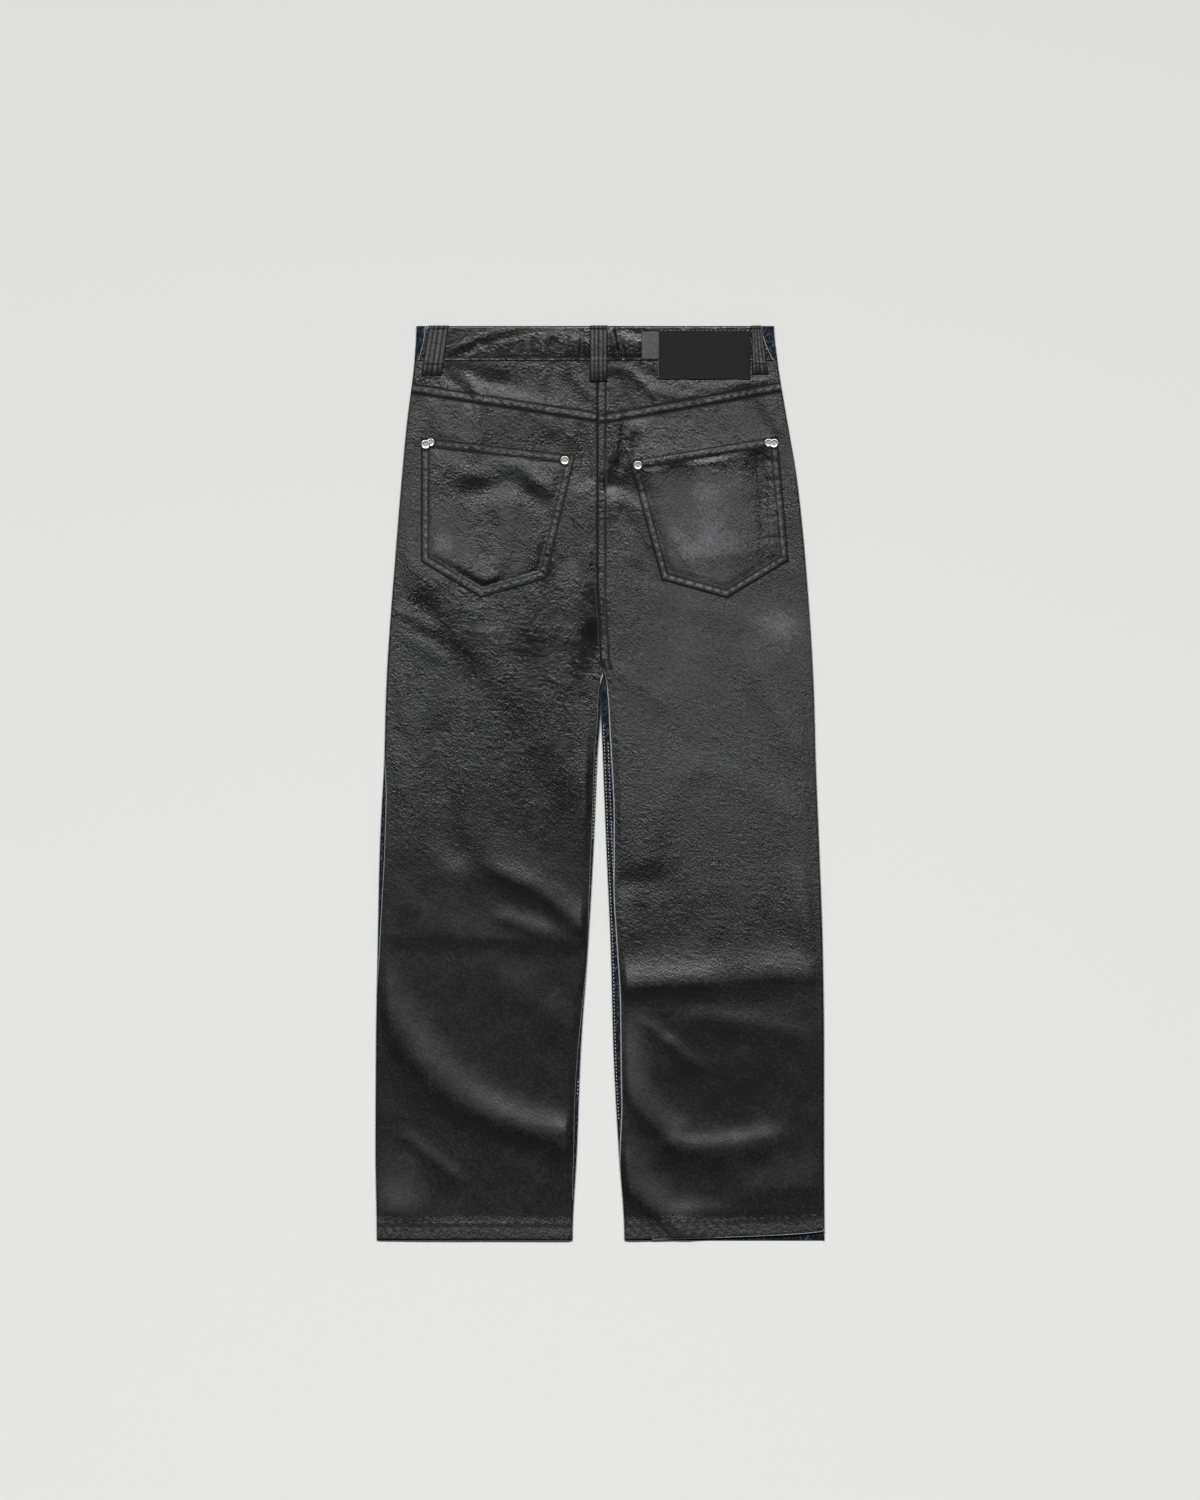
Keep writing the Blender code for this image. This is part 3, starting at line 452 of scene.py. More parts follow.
# Broad parts of the back where the wax is worn dull, or is thick and sleek where the amount is below
# nought, each with its reach across and down. They are partly wear and partly painted light and shade:
# they lighten and darken the colour to follow how the lit cloth looks, as in the painted shade above the
# right pocket and beside the centre seam.
WornAndPaintedLight = namedtuple("WornAndPaintedLight", "x drop across down amount")
WORN_AND_PAINTED_LIGHT = (
    # the right leg, pale from the seat to the knee, with wear and painted light
    WornAndPaintedLight(115, 375, 115, 120, 0.8),
    WornAndPaintedLight(120, 560, 110, 90, 0.25),
    WornAndPaintedLight(62, 585, 42, 100, -0.3),
    WornAndPaintedLight(206, 348, 38, 36, 1.3),
    WornAndPaintedLight(96, 350, 26, 60, 0.5),
    WornAndPaintedLight(236, 470, 30, 230, 0.4),
    WornAndPaintedLight(120, 860, 160, 60, -0.15),
    # the left thigh, sleek, and darkened partly as painted shade
    WornAndPaintedLight(-100, 430, 80, 160, -0.34),
    WornAndPaintedLight(-150, 350, 36, 42, -0.35),
    WornAndPaintedLight(-195, 305, 36, 34, -0.55),
    WornAndPaintedLight(-22, 385, 24, 60, -0.5),
    WornAndPaintedLight(-40, 480, 34, 70, -0.35),
    WornAndPaintedLight(-78, 375, 30, 60, -0.4),
    WornAndPaintedLight(-62, 272, 18, 40, -0.5),
    WornAndPaintedLight(-26, 160, 20, 50, -0.3),
    # the seat and its pockets
    WornAndPaintedLight(-222, 230, 26, 70, 0.5),
    WornAndPaintedLight(-178, 250, 22, 28, 1.3),
    WornAndPaintedLight(-102, 232, 16, 46, 0.6),
    WornAndPaintedLight(-150, 182, 32, 18, -0.6),
    WornAndPaintedLight(112, 222, 44, 62, 1),
    WornAndPaintedLight(132, 258, 36, 36, 0.45),
    WornAndPaintedLight(112, 186, 44, 16, 0.7),
    WornAndPaintedLight(186, 200, 12, 60, -0.3),
    WornAndPaintedLight(24, 156, 26, 36, -0.6),
    WornAndPaintedLight(112, 154, 60, 16, -0.8),
    WornAndPaintedLight(-84, 190, 18, 20, -0.6),
    WornAndPaintedLight(4, 188, 14, 30, -0.5),
    WornAndPaintedLight(40, 122, 18, 16, -0.5),
    WornAndPaintedLight(226, 155, 18, 22, 1.3),
    WornAndPaintedLight(172, 110, 40, 16, 0.7),
    WornAndPaintedLight(3, 300, 12, 90, -0.35),
    WornAndPaintedLight(-110, 116, 40, 10, 0.4),
    WornAndPaintedLight(-60, 128, 30, 14, -0.5),
    WornAndPaintedLight(-8, 340, 16, 50, -0.65),
    WornAndPaintedLight(-40, 300, 30, 40, -0.2),
    # the yokes
    WornAndPaintedLight(-100, 82, 60, 14, -0.1),
    WornAndPaintedLight(-130, 56, 110, 15, -0.6),
    WornAndPaintedLight(80, 50, 50, 14, -0.6),
    # the sides of the shins, and the hems where they scuff
    WornAndPaintedLight(36, 850, 20, 60, 0.5),
    WornAndPaintedLight(-235, 990, 30, 40, 0.5),
    WornAndPaintedLight(0, 1040, 400, 14, 0.5),
)


def dulled_and_painted_light(x, drop):
    """How thin the wax is over the broad worn parts, with the painted light and shade they carry."""
    total = np.zeros(np.shape(x))
    for part in WORN_AND_PAINTED_LIGHT:
        away = ((x - part.x) / part.across) ** 2 + ((drop - part.drop) / part.down) ** 2
        total += part.amount * np.exp(-away)
    return total


# the wax rubbed off flat cloth, the painted highlight that a slope facing the waist adds to that, what a
# millimetre of height adds, and the most it can be
RUB_FLAT, PAINTED_HIGHLIGHT_SLOPE, RUB_RISE, RUB_MOST = 0.22, 1.5, 0.05, 1.2


def rub_and_painted_light(side, x, drop, reach=1.5):
    """How far the wax is rubbed off, most on crests, plus painted highlight on slopes that face the waist and
    its lamps.
    """
    slope = (relief(side, x, drop + reach) - relief(side, x, drop - reach)) / (2.0 * reach)
    return np.clip(RUB_FLAT + PAINTED_HIGHLIGHT_SLOPE * slope + RUB_RISE * relief(side, x, drop), 0.0, RUB_MOST)


# Fine marks that run beside the seams: how far from the seam each lies, its width, and how strong it is.
# Lines are painted shade: dark and matt along the lapped edges, stitches and hem folds, where the cloth falls
# in shade. Bars are pale, partly wear and partly painted highlight where the ridge between two rows of
# stitches catches the light.
Mark = namedtuple("Mark", "at width strength")
YOKE_LINES = (Mark(-0.8, 1.8, 1.4), Mark(0.4, 0.8, 0.9), Mark(8.8, 1.1, 1.1))
YOKE_BARS = (Mark(4.6, 1.3, 2.0),)
HEM_LINES = (Mark(HEM_STITCHES, 0.8, 0.5), Mark(16.6, 1.0, 1.1), Mark(0.4, 0.6, 0.6))
HEM_BARS = (Mark(19.5, 1.4, 1.3),)
CENTRE_LINES = (Mark(0.0, 1.2, 1.2),)
FELLED_LINES = (Mark(9.2, 1.0, 0.9),)
FELLED_BARS = (Mark(4.8, 1.6, 1.1),)
# the bartack draws the cloth in tight, and a spot of painted shade darkens it: its middle, its shape and its
# mark
TACK_ACROSS, TACK_DROP, TACK_SHAPE = 2.5, 389.5, 2.2
TACK_SPOT = (Mark(0.0, 2.6, 1.6),)
MARK_DEPTH = 0.3  # how deep the dark lines are pressed into the cloth


def line_at(distance, width):
    """1 on a line, falling to 0 at about twice the width from it."""
    return np.exp(-((distance / width) ** 2))


def marked(marks, distance):
    return sum(mark.strength * line_at(distance - mark.at, mark.width) for mark in marks)


def rounding_at(distance, reach):
    """1 at an edge, falling to 0 at a reach from it."""
    return np.clip(1.0 - distance / reach, 0.0, 1.0) ** 2


def light_bars(run):
    """Where the ridges between stitches are pale, partly rubbed and partly painted highlight, along the run
    of a seam.
    """
    return eased(0.5 + 0.9 * np.sin(run * 0.62 + 1.3 * np.sin(run / 13.0)) + 0.4 * np.sin(run / 23.0))


def seam_marks(side, x, drop):
    """The painted shade lines and pale bars along the back's seams and hem. Where pale they are below nought.
    """
    share = share_across(side, x, drop)
    over = yoke_drop(side, share) - drop
    lines = marked(YOKE_LINES, over) - marked(YOKE_BARS, over) * light_bars(x)
    hem = back_hem_drop(side, share) - drop
    lines += marked(HEM_LINES, hem) - marked(HEM_BARS, hem) * light_bars(x + 40.0)
    across = x - back_seam_x(drop)
    centre = marked(CENTRE_LINES, across)
    if side > 0:
        centre += marked(FELLED_LINES, across) - marked(FELLED_BARS, across) * light_bars(drop)
    lines += centre * (drop < CROTCH_DROP + 2.0)
    lines += marked(TACK_SPOT, np.hypot((across - TACK_ACROSS) / TACK_SHAPE, drop - TACK_DROP))
    return lines * (drop > WAISTBAND_DEPTH)


BUTTON_DROP = 19.5
BUTTON_LIFT = 2.9
LIFT_ACROSS = 45.0
LIFT_ALONG = 35.0
LIFT_FLOOR = 0.02


def placed(x, drop, height):
    """Points in metres. The button under the waist props the cloth up a little around it."""
    bump = np.exp(-(((x - FRONT_SEAM_X) / LIFT_ACROSS) ** 2) - ((drop - BUTTON_DROP) / LIFT_ALONG) ** 2)
    lift = BUTTON_LIFT * np.maximum(0.0, bump - LIFT_FLOOR)
    return np.stack([x, LENGTH / 2.0 - drop, height + lift], axis=-1) * MM


def add_piece(name, bm, material, sharp=40.0):
    mesh = bpy.data.meshes.new(name)
    bm.to_mesh(mesh)
    bm.free()
    mesh.shade_smooth()
    mesh.set_sharp_from_angle(angle=math.radians(sharp))
    mesh.materials.append(material)
    piece = bpy.data.objects.new(name, mesh)
    scene.collection.objects.link(piece)
    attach(piece, "root")
    return piece


CRINKLED_SEAT, CRINKLED_SHIN, CRINKLED_HEM = 1.0, 0.17, 0.8
HEM_REACH = 28.0
LEFT_SMOOTH, RIGHT_SMOOTH, SMOOTH_REACH = 560.0, 700.0, 160.0  # the drops where each leg grows smooth


def crinkle_at(x, drop):
    """How crinkled the wax is: most over the seat, the right thigh and the hems, least below the knees."""
    if drop > LENGTH - HEM_REACH:
        return CRINKLED_HEM
    smooth = LEFT_SMOOTH if x < 0.0 else RIGHT_SMOOTH
    share = min(1.0, max(0.0, (drop - smooth + SMOOTH_REACH) / (2.0 * SMOOTH_REACH)))
    return mix(CRINKLED_SEAT, CRINKLED_SHIN, share * share * (3.0 - 2.0 * share))


# sleek wax is less crinkled: the least share of its crinkles left, the share on plain cloth, and what
# dulling adds to that
SLEEK_LEAST, SLEEK_PLAIN, SLEEK_SLOPE = 0.25, 0.7, 0.55


def cloth_piece(name, material, outer, inner, wear_and_painted_light, crinkling=1.0, handled=0.0):
    """A closed wall of cloth between two arrays of points in rows, with how far its wax is rubbed off and the
    painted light and shade laid on it.

    Crinkling scales how crinkled the wax is, and handled adds to how dull it is all over.
    """
    down, across = outer.shape[0] - 1, outer.shape[1] - 1
    bm = bmesh.new()
    rubbed_and_painted_light, crinkled, dull_and_painted_light = (bm.verts.layers.float.new(layer) for layer in ("rub_and_painted_light", "crinkle", "dull_and_painted_light"))
    patches = dulled_and_painted_light(outer[..., 0] / MM, LENGTH / 2.0 - outer[..., 1] / MM) + handled
    bmesh.ops.create_grid(bm, x_segments=across, y_segments=down, size=0.5)
    far = bmesh.ops.extrude_face_region(bm, geom=bm.faces[:], use_keep_orig=True)
    under = {item for item in far["geom"] if isinstance(item, bmesh.types.BMVert)}
    for vert in bm.verts:
        column, row = round((vert.co.x + 0.5) * across), round((0.5 - vert.co.y) * down)
        vert.co = (inner if vert in under else outer)[row, column]
        vert[rubbed_and_painted_light], vert[dull_and_painted_light] = wear_and_painted_light[row, column], patches[row, column]
        vert[crinkled] = crinkling * crinkle_at(vert.co.x / MM, LENGTH / 2.0 - vert.co.y / MM)
        vert[crinkled] *= min(1.0, max(SLEEK_LEAST, SLEEK_PLAIN + SLEEK_SLOPE * vert[dull_and_painted_light]))
    bmesh.ops.recalc_face_normals(bm, faces=bm.faces[:])
    return add_piece(name, bm, material)


def panel_columns(outer_steps, middles, inner_steps):
    """Columns across a panel, and the share across at which each lies."""
    columns = [("outer", step) for step in outer_steps]
    columns += [("middle", k / (middles + 1.0)) for k in range(1, middles + 1)]
    columns += [("inner", step) for step in reversed(inner_steps)]
    first, last = outer_steps[-1] / HALF_WIDTH, 1.0 - inner_steps[-1] / HALF_WIDTH
    place = {"outer": lambda v: v / HALF_WIDTH, "inner": lambda v: 1.0 - v / HALF_WIDTH}
    place["middle"] = lambda v: mix(first, last, v)
    return columns, np.array([place[kind](value) for kind, value in columns])


BACK_OUTER_STEPS = (0.0, 0.5, 1.1, 1.9, 2.8, 3.7, 4.6, 6.5, 9.0)
BACK_INNER_STEPS = (0.0, 0.5, 1.3, 2.4, 4.0, 5.6, 7.2, SEAM_BAND, SEAM_BAND + STEP)
EDGE_PINCH = 0.4
EDGE_ROUND = 1.1


def back_section(side, kind, value, drop):
    """X, height and inward direction of the back's outer face down one column."""
    level = np.full(drop.shape, TOP)
    if kind == "middle":
        first = back_section(side, "outer", BACK_OUTER_STEPS[-1], drop)[0]
        last = back_section(side, "inner", BACK_INNER_STEPS[-1], drop)[0]
        return mix(first, last, value), level, np.zeros(drop.shape), np.full(drop.shape, -1.0)
    toward = -side if kind == "outer" else side
    shown = showing(side, kind, drop)
    inset, height, across, up = rolled(seam_run(shown) + value)
    x = outline(side, kind, drop) + toward * inset
    if kind == "inner":
        # just below the crotch the seam still lies flat on top, and above it is the centre seam
        roll = eased((drop - CROTCH_DROP - SEAM_ROLL) / SEAM_ROLL)
        x = outline(side, kind, drop) + toward * mix(shown + value, inset, roll)
        height, across, up = mix(TOP, height, roll), across * roll, mix(-1.0, up, roll)
        seam = back_seam_x(drop) + side * (SEAM_GAP / 2.0 + value)
        above = drop <= CROTCH_DROP
        x, height = np.where(above, seam, x), np.where(above, TOP, height)
        across, up = np.where(above, 0.0, across), np.where(above, -1.0, up)
    size = np.hypot(across, up)
    return x, height, toward * across / size, up / size


def back_panel(name, side, columns, drops, thickness):
    """A piece of the back through columns of cloth, with a drop given for each row of each column."""
    outer, inner, wear_and_painted_light = (np.zeros((*drops.shape, n)) for n in (3, 3, 1))
    for k, (kind, value) in enumerate(columns):
        drop = drops[:, k]
        x, height, across, up = back_section(side, kind, value, drop)
        flat = up < -0.9
        pinch = EDGE_PINCH * max(0.0, 1.0 - value / EDGE_ROUND) ** 2 if kind != "middle" else 0.0
        marks = seam_marks(side, x, drop)
        top = height + relief(side, x, drop) + seam_rise(side, x, drop) * flat
        top = top - MARK_DEPTH * np.clip(marks, 0.0, 1.0) * flat
        outer[:, k] = placed(x + across * pinch, drop, top + up * pinch)
        inner[:, k] = placed(x + across * thickness, drop, top + up * thickness)
        # painted light: the rubbed wear with painted highlight on slopes facing the waist, less the seams'
        # painted shade lines and plus their pale bars
        wear_and_painted_light[:, k, 0] = rub_and_painted_light(side, x, drop) - marks
    return cloth_piece(name, waxed_twill, outer, inner, wear_and_painted_light[..., 0])


# Waxed cotton twill: a dull black dye under a coat of wax, so it is near black with a broad soft gloss,
# greyer and duller where the wax is rubbed. The twill's lines run down to the right.
TWILL_LENGTH = 4.2  # mm of one slub of the yarn along the twill line
TWILL_WIDTH = 1.7  # real lines are 1 mm apart, too fine to show here, so these are drawn coarser
CREASE_LENGTH, CREASE_WIDTH = 13.0, 8.0  # fine creases that the stiff wax keeps
GRAIN = 2.6  # pebbling of the wax, mm across
CLOUD = 30.0  # patches of thicker and thinner wax

waxed_twill, shader = new_material("waxed_cotton_twill")
place = add_node(waxed_twill, "TexCoord").outputs["Object"]
rubbed_and_painted_light, patches, crinkle = (
    add_node(waxed_twill, "Attribute", attribute_name=layer).outputs["Fac"]
    for layer in ("rub_and_painted_light", "dull_and_painted_light", "crinkle")
)
twill_place = add_node(
    waxed_twill,
    "Mapping",
    {
        "Vector": place,
        "Rotation": (0.0, 0.0, math.radians(-48.0)),
        "Scale": (TWILL_LENGTH * MM, TWILL_WIDTH * MM, TWILL_WIDTH * MM),
    },
    vector_type="TEXTURE",
)
twill = add_node(
    waxed_twill,
    "TexNoise",
    {"Vector": twill_place.outputs["Vector"], "Scale": 1.0, "Detail": 2.0, "Roughness": 0.6},
)
crease_place = add_node(
    waxed_twill,
    "Mapping",
    {
        "Vector": place,
        "Rotation": (0.0, 0.0, math.radians(-38.0)),
        "Scale": (CREASE_LENGTH * MM, CREASE_WIDTH * MM, CREASE_WIDTH * MM),
    },
    vector_type="TEXTURE",
)
creases = add_node(
    waxed_twill,
    "TexNoise",
    {"Vector": crease_place.outputs["Vector"], "Scale": 1.0, "Detail": 2.0, "Roughness": 0.5},
    noise_type="RIDGED_MULTIFRACTAL",
)
grain = add_node(
    waxed_twill,
    "TexNoise",
    {"Vector": place, "Scale": 1000.0 / GRAIN, "Detail": 3.0, "Roughness": 0.6},
)
cloud = add_node(
    waxed_twill,
    "TexNoise",
    {"Vector": place, "Scale": 1000.0 / CLOUD, "Detail": 3.0, "Roughness": 0.5, "Distortion": 0.3},
)
# rubbing, the twill's lines, clouds in the wax and the broad worn parts all bare the greyer cotton; the
# rub and broad-part attributes also carry painted highlight and painted shade, which lighten and darken the
# colour the same way
wear = rubbed_and_painted_light
for pattern, weight in ((twill.outputs["Fac"], 1.7), (cloud.outputs["Fac"], 0.45), (patches, 0.8)):
    added = {0: pattern, 1: weight, 2: wear}
    wear = add_node(waxed_twill, "Math", added, operation="MULTIPLY_ADD").outputs[0]
dulling = add_node(waxed_twill, "MapRange", {"Value": wear, "From Min": 1.22, "From Max": 3.2})
shade = add_node(waxed_twill, "ValToRGB", {"Fac": dulling.outputs["Result"]})
shade.color_ramp.elements[0].color = linear("#09090a")
shade.color_ramp.elements[1].color = linear("#6c6c6e")
shade.color_ramp.elements.new(0.6).color = linear("#3a3a3b")
# Thick wax is glossy. The cloth is matt in the seams, where no wax was rubbed in, and rougher on bare
# ridges, where the wax is thin, and in small patches where it has crinkled.
waxed = add_node(
    waxed_twill,
    "MapRange",
    {"Value": rubbed_and_painted_light, "From Min": -0.7, "From Max": 0.2, "To Min": 0.85, "To Max": 0.335},
)
bare = add_node(waxed_twill, "MapRange", {"Value": rubbed_and_painted_light, "From Min": 0.7, "From Max": 1.7, "To Max": 0.3})
blotches = add_node(waxed_twill, "Math", {0: cloud.outputs["Fac"], 1: grain.outputs["Fac"]}, operation="ADD")
patchy = add_node(
    waxed_twill,
    "MapRange",
    {"Value": blotches.outputs[0], "From Max": 2.0, "To Min": -0.4, "To Max": 0.4},
    clamp=False,
)
gloss = waxed.outputs["Result"]
for pattern, weight in ((patches, 0.18), (bare.outputs["Result"], 1.0), (patchy.outputs["Result"], crinkle)):
    added = {0: pattern, 1: weight, 2: gloss}
    gloss = add_node(waxed_twill, "Math", added, operation="MULTIPLY_ADD").outputs[0]
# how deep in mm the twill's lines, the set creases and the wax's pebbling are, each over the last
below = {}
for texture, depth in ((twill, 0.9), (creases, 0.85), (grain, 1.25)):
    sockets = {"Strength": crinkle, "Distance": depth * MM, "Height": texture.outputs["Fac"], **below}
    below = {"Normal": add_node(waxed_twill, "Bump", sockets).outputs["Normal"]}
fill(waxed_twill, shader, {"Base Color": shade.outputs["Color"], "Roughness": gloss, "IOR": 1.46, **below})

# Thread: core-spun polyester, black on the waxed side. Each stitch is one strand with rounded ends.
STITCH_PITCH = 3.2
STITCH_LENGTH = 2.5
THREAD_WIDTH = 0.62
THREAD_HEIGHT = 0.36
THREAD_LIFT = 0.12  # of a stitch's middle above the cloth
FUZZ = 0.4  # mm across a tuft of the thread's fuzz
STITCHES_AT_ONCE = 32  # a long row made in one go is slow


def thread_material(name, colour, roughness):
    """Spun thread: a matt round strand with a fine fuzz."""
    material, shader = new_material(name)
    place = add_node(material, "TexCoord").outputs["Object"]
    fuzz = add_node(material, "TexNoise", {"Vector": place, "Scale": 1000.0 / FUZZ, "Detail": 1.0})
    bump = add_node(material, "Bump", {"Strength": 0.4, "Distance": 0.1 * MM, "Height": fuzz.outputs["Fac"]})
    looks = {"Base Color": linear(colour), "Roughness": roughness, "Specular IOR Level": 0.3}
    fill(material, shader, {**looks, "Normal": bump.outputs["Normal"]})
    return material


black_thread = thread_material("black_spun_thread", "#161617", 0.8)


def stitching(name, material, lines, height, pitch=STITCH_PITCH, length=STITCH_LENGTH):
    """Rows of single stitches along lines of x and drop, on a surface whose height is given there."""
    whole = bmesh.new()
    along_it = Matrix.Rotation(math.pi / 2, 4, "Y")  # puts a sphere's poles at the stitch's ends
    for line in lines:
        points = np.array(line, float)
        runs = np.concatenate([[0.0], np.cumsum(np.hypot(*np.diff(points, axis=0).T))])
        count = max(1, int(runs[-1] / pitch))
        middles = (np.arange(count) + 0.5) * runs[-1] / count
        x, drop = (np.interp(middles, runs, points[:, axis]) for axis in (0, 1))
        behind, ahead = (
            [np.interp(middles + shift, runs, points[:, axis]) for axis in (0, 1)] for shift in (-0.5, 0.5)
        )
        turns = np.arctan2(behind[1] - ahead[1], ahead[0] - behind[0])
        spots = placed(x, drop, height(x, drop) + THREAD_LIFT)
        size = Matrix.Diagonal((length / 2 * MM, THREAD_WIDTH / 2 * MM, THREAD_HEIGHT / 2 * MM, 1.0))
        for first in range(0, count, STITCHES_AT_ONCE):
            few = bmesh.new()
            for spot, turn in zip(spots[first:][:STITCHES_AT_ONCE], turns[first:]):
                lie = Matrix.Translation(spot) @ Matrix.Rotation(turn, 4, "Z") @ size @ along_it
                bmesh.ops.create_uvsphere(few, u_segments=4, v_segments=6, radius=1.0, matrix=lie)
            bit = bpy.data.meshes.new("few_stitches")
            few.to_mesh(bit)
            few.free()
            whole.from_mesh(bit)
            bpy.data.meshes.remove(bit)
    return add_piece(name, whole, material, 80.0)


def seam_line(points, count=60):
    """A line of x and drop through a function of a share from 0 to 1."""
    return [points(k / count) for k in range(count + 1)]


leg_columns, leg_shares = panel_columns(BACK_OUTER_STEPS, 98, BACK_INNER_STEPS)
SEAT_ROWS = 110
LEG_ROWS = 205
HEM_ROWS = (HEM_DEPTH + STEP, HEM_DEPTH, 15.0, 12.5, 10.0, 7.5, 5.0, 2.5, 1.0, 0.3, 0.0)
for side, name in ((-1, "left_back_leg"), (1, "right_back_leg")):
    hem = back_hem_drop(side, leg_shares)
    seam = yoke_drop(side, leg_shares) + SEAM_GAP
    rows = [mix(seam, CROTCH_DROP, k / SEAT_ROWS) for k in range(SEAT_ROWS + 1)]
    rows += [CROTCH_DROP + 2.0 * k + 0.0 * hem for k in range(1, 12)]
    rows += [mix(CROTCH_DROP + 22.0, hem - HEM_DEPTH - 1.2, k / LEG_ROWS) for k in range(1, LEG_ROWS + 1)]
    rows += [hem - above for above in HEM_ROWS]
    leg = back_panel(name, side, leg_columns, np.array(rows), CLOTH)
    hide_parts(side_name("back", side))

    def hem_stitch(share, side=side):
        drop = back_hem_drop(side, share) - HEM_STITCHES
        outer, inner = (outline(side, place, drop) for place in ("outer", "inner"))
        return mix(outer - side * 3.0, inner + side * 3.0, share), drop

    hem_thread = stitching(
        side_name("hem_stitching", side),
        black_thread,
        [seam_line(hem_stitch)],
        lambda x, d, s=side: back_top(s, x, d) - 0.2,
    )

# the twin rows that hold the felled centre seam, and the bartack at its foot
seam_rows = [
    [(back_seam_x(drop) + over, drop) for drop in np.linspace(114.0, 386.0, 40)] for over in (1.7, 7.4)
]
tack_rows = [[(-1.5, drop), (8.5, drop)] for drop in (385.6, 387.0, 388.4, 389.8, 391.2)]
centre_thread = stitching("centre_seam_stitching", black_thread, seam_rows, lambda x, d: back_top(1, x, d))
crotch_tack = stitching(
    "crotch_bartack", black_thread, tack_rows, lambda x, d: TOP + TURNED_CLOTH + 0.1 + 0.0 * x, 1.6, 2.6
)


# ---------------------------------------------------------------------------------------------------
# Yokes. The shaped pieces of the same twill between waistband and seat. Their lower edge laps over the
# leg panels and is held by twin rows of stitches, which gather the cloth into small puckers.

yoke_columns, yoke_shares = panel_columns(BACK_OUTER_STEPS, 110, BACK_INNER_STEPS)
YOKE_ROWS = 34
LAP_ROWS = (SEAM_BAND, 8.2, 7.4, 6.4, 5.2, 4.0, 2.8, 1.6, 0.8, 0.3, 0.0)
LAP_STITCHES = (1.6, 8.0)  # above the lapped edge
for side, name in ((-1, "left_yoke"), (1, "right_yoke")):
    seam = yoke_drop(side, yoke_shares)
    top = WAISTBAND_DEPTH + SEAM_GAP
    rows = [mix(top, seam - SEAM_BAND - STEP, k / YOKE_ROWS) for k in range(YOKE_ROWS + 1)]
    rows += [seam - above for above in LAP_ROWS]
    yoke = back_panel(name, side, yoke_columns, np.array(rows), CLOTH)
    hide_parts(side_name("yoke", side))

    def lap_line(over, side=side):
        def at(share):
            drop = yoke_drop(side, share) - over
            return mix(outline(side, "outer", drop) - side * 1.5, back_seam_x(drop) + side * 1.0, share), drop

        return seam_line(at)

    lap_thread = stitching(
        side_name("yoke_stitching", side),
        black_thread,
        [lap_line(over) for over in LAP_STITCHES],
        lambda x, d, s=side: back_top(s, x, d),
    )


# ---------------------------------------------------------------------------------------------------
# Back waistband. One straight band, folded along the waist and sewn down along its lower edge, so it
# is two layers thick. The wax has set it in slanting creases and in short upright ones by the loops.

WAISTBAND_CLOTH = 2.4
BAND_STITCHES = 37.2
BAND_FOLDS = (
    Fold(-168, 26, -108, 5, 2, 4, 5, 0.18),
    Fold(-160, 32, -96, 12, 3, 4, 5, -0.21),
    Fold(-118, 16, -50, 11, 0, 5, 6, 0.18),
    Fold(-66, 20, -66, 36, 0, 3.5, 3.5, 0.36),
    Fold(-56, 19, -56, 36, 0, 3, 3, -0.3),
    Fold(-43, 20, -43, 36, 0, 5, 4, 0.42),
    Fold(-28, 18, -29, 36, 0, 5, 4, 0.42),
    Fold(-20, 4, -21, 36, 0, 2.5, 3, -0.42),
    Fold(-15, 20, -15, 36, 0, 2.5, 2.5, 0.36),
    Fold(-84, 22, -84, 36, 0, 3, 3, 0.3),
    Fold(-112, 22, -111, 36, 0, 4, 4, 0.24),
    Fold(-140, 26, -139, 37, 0, 4, 4, 0.24),
    Fold(14, 6, 20, 36, 0, 3, 3, 0.48),
    Fold(20, 8, 27, 36, 0, 3, 3, -0.48),
    Fold(31, 18, 32, 37, 0, 4, 3, 0.42),
    Fold(42, 20, 42, 37, 0, 4, 3, 0.36),
    Fold(22, 4, 62, 12, 0, 5, 5, -0.3),
)
# its marks, at these drops: painted shade lines at the stitches and under the band's lower edge, and pale
# bars of painted highlight
BAND_LINES = (Mark(37.0, 0.8, 0.9), Mark(40.0, 1.0, 1.2))
BAND_BARS = (Mark(38.6, 0.7, 0.9), Mark(31.0, 4.0, 0.6))


def band_edge_x(side, step, drop):
    return outline(side, "outer", drop) - side * (showing(side, "outer", drop) + ROLL_GAP + step)


def band_relief(x, drop):
    lower = pucker(np.maximum(0.0, WAISTBAND_DEPTH - 3.5 - drop), x + 3.0)
    return fold_height(BAND_FOLDS, x, drop) + 0.5 * cockled(x, drop, 9.0) + lower


def band_top(x, drop):
    return TOP + TURNED_CLOTH + band_relief(x, drop)


edge_steps = np.array((0.0, 0.5, 1.2, 2.2, 3.4))
band_shares = np.linspace(0.0, 1.0, 232)
foot_drops = (36.4, BAND_STITCHES, 38.0, 39.0, 39.8, WAISTBAND_DEPTH)
band_drops = np.array((0.0, 0.25, 0.8, 1.6, 2.6, *np.arange(4.0, 36.0, 1.6), *foot_drops))
drop = np.repeat(band_drops[:, None], 2 * len(edge_steps) + len(band_shares) - 2, axis=1)
first, last = (band_edge_x(side, edge_steps[-1], drop) for side in (-1, 1))
x = np.zeros(drop.shape)
for k, step in enumerate(edge_steps):
    x[:, k] = band_edge_x(-1, step, band_drops)
    x[:, -1 - k] = band_edge_x(1, step, band_drops)
across = slice(len(edge_steps) - 1, x.shape[1] - len(edge_steps) + 1)
x[:, across] = mix(first[:, :1], last[:, :1], band_shares[None, :])
fold_round = 1.2 * rounding_at(drop, 1.6)
foot_round = 0.4 * np.clip(1.0 - (WAISTBAND_DEPTH - drop) / 0.6, 0.0, 1.0)
top = band_top(x, drop)
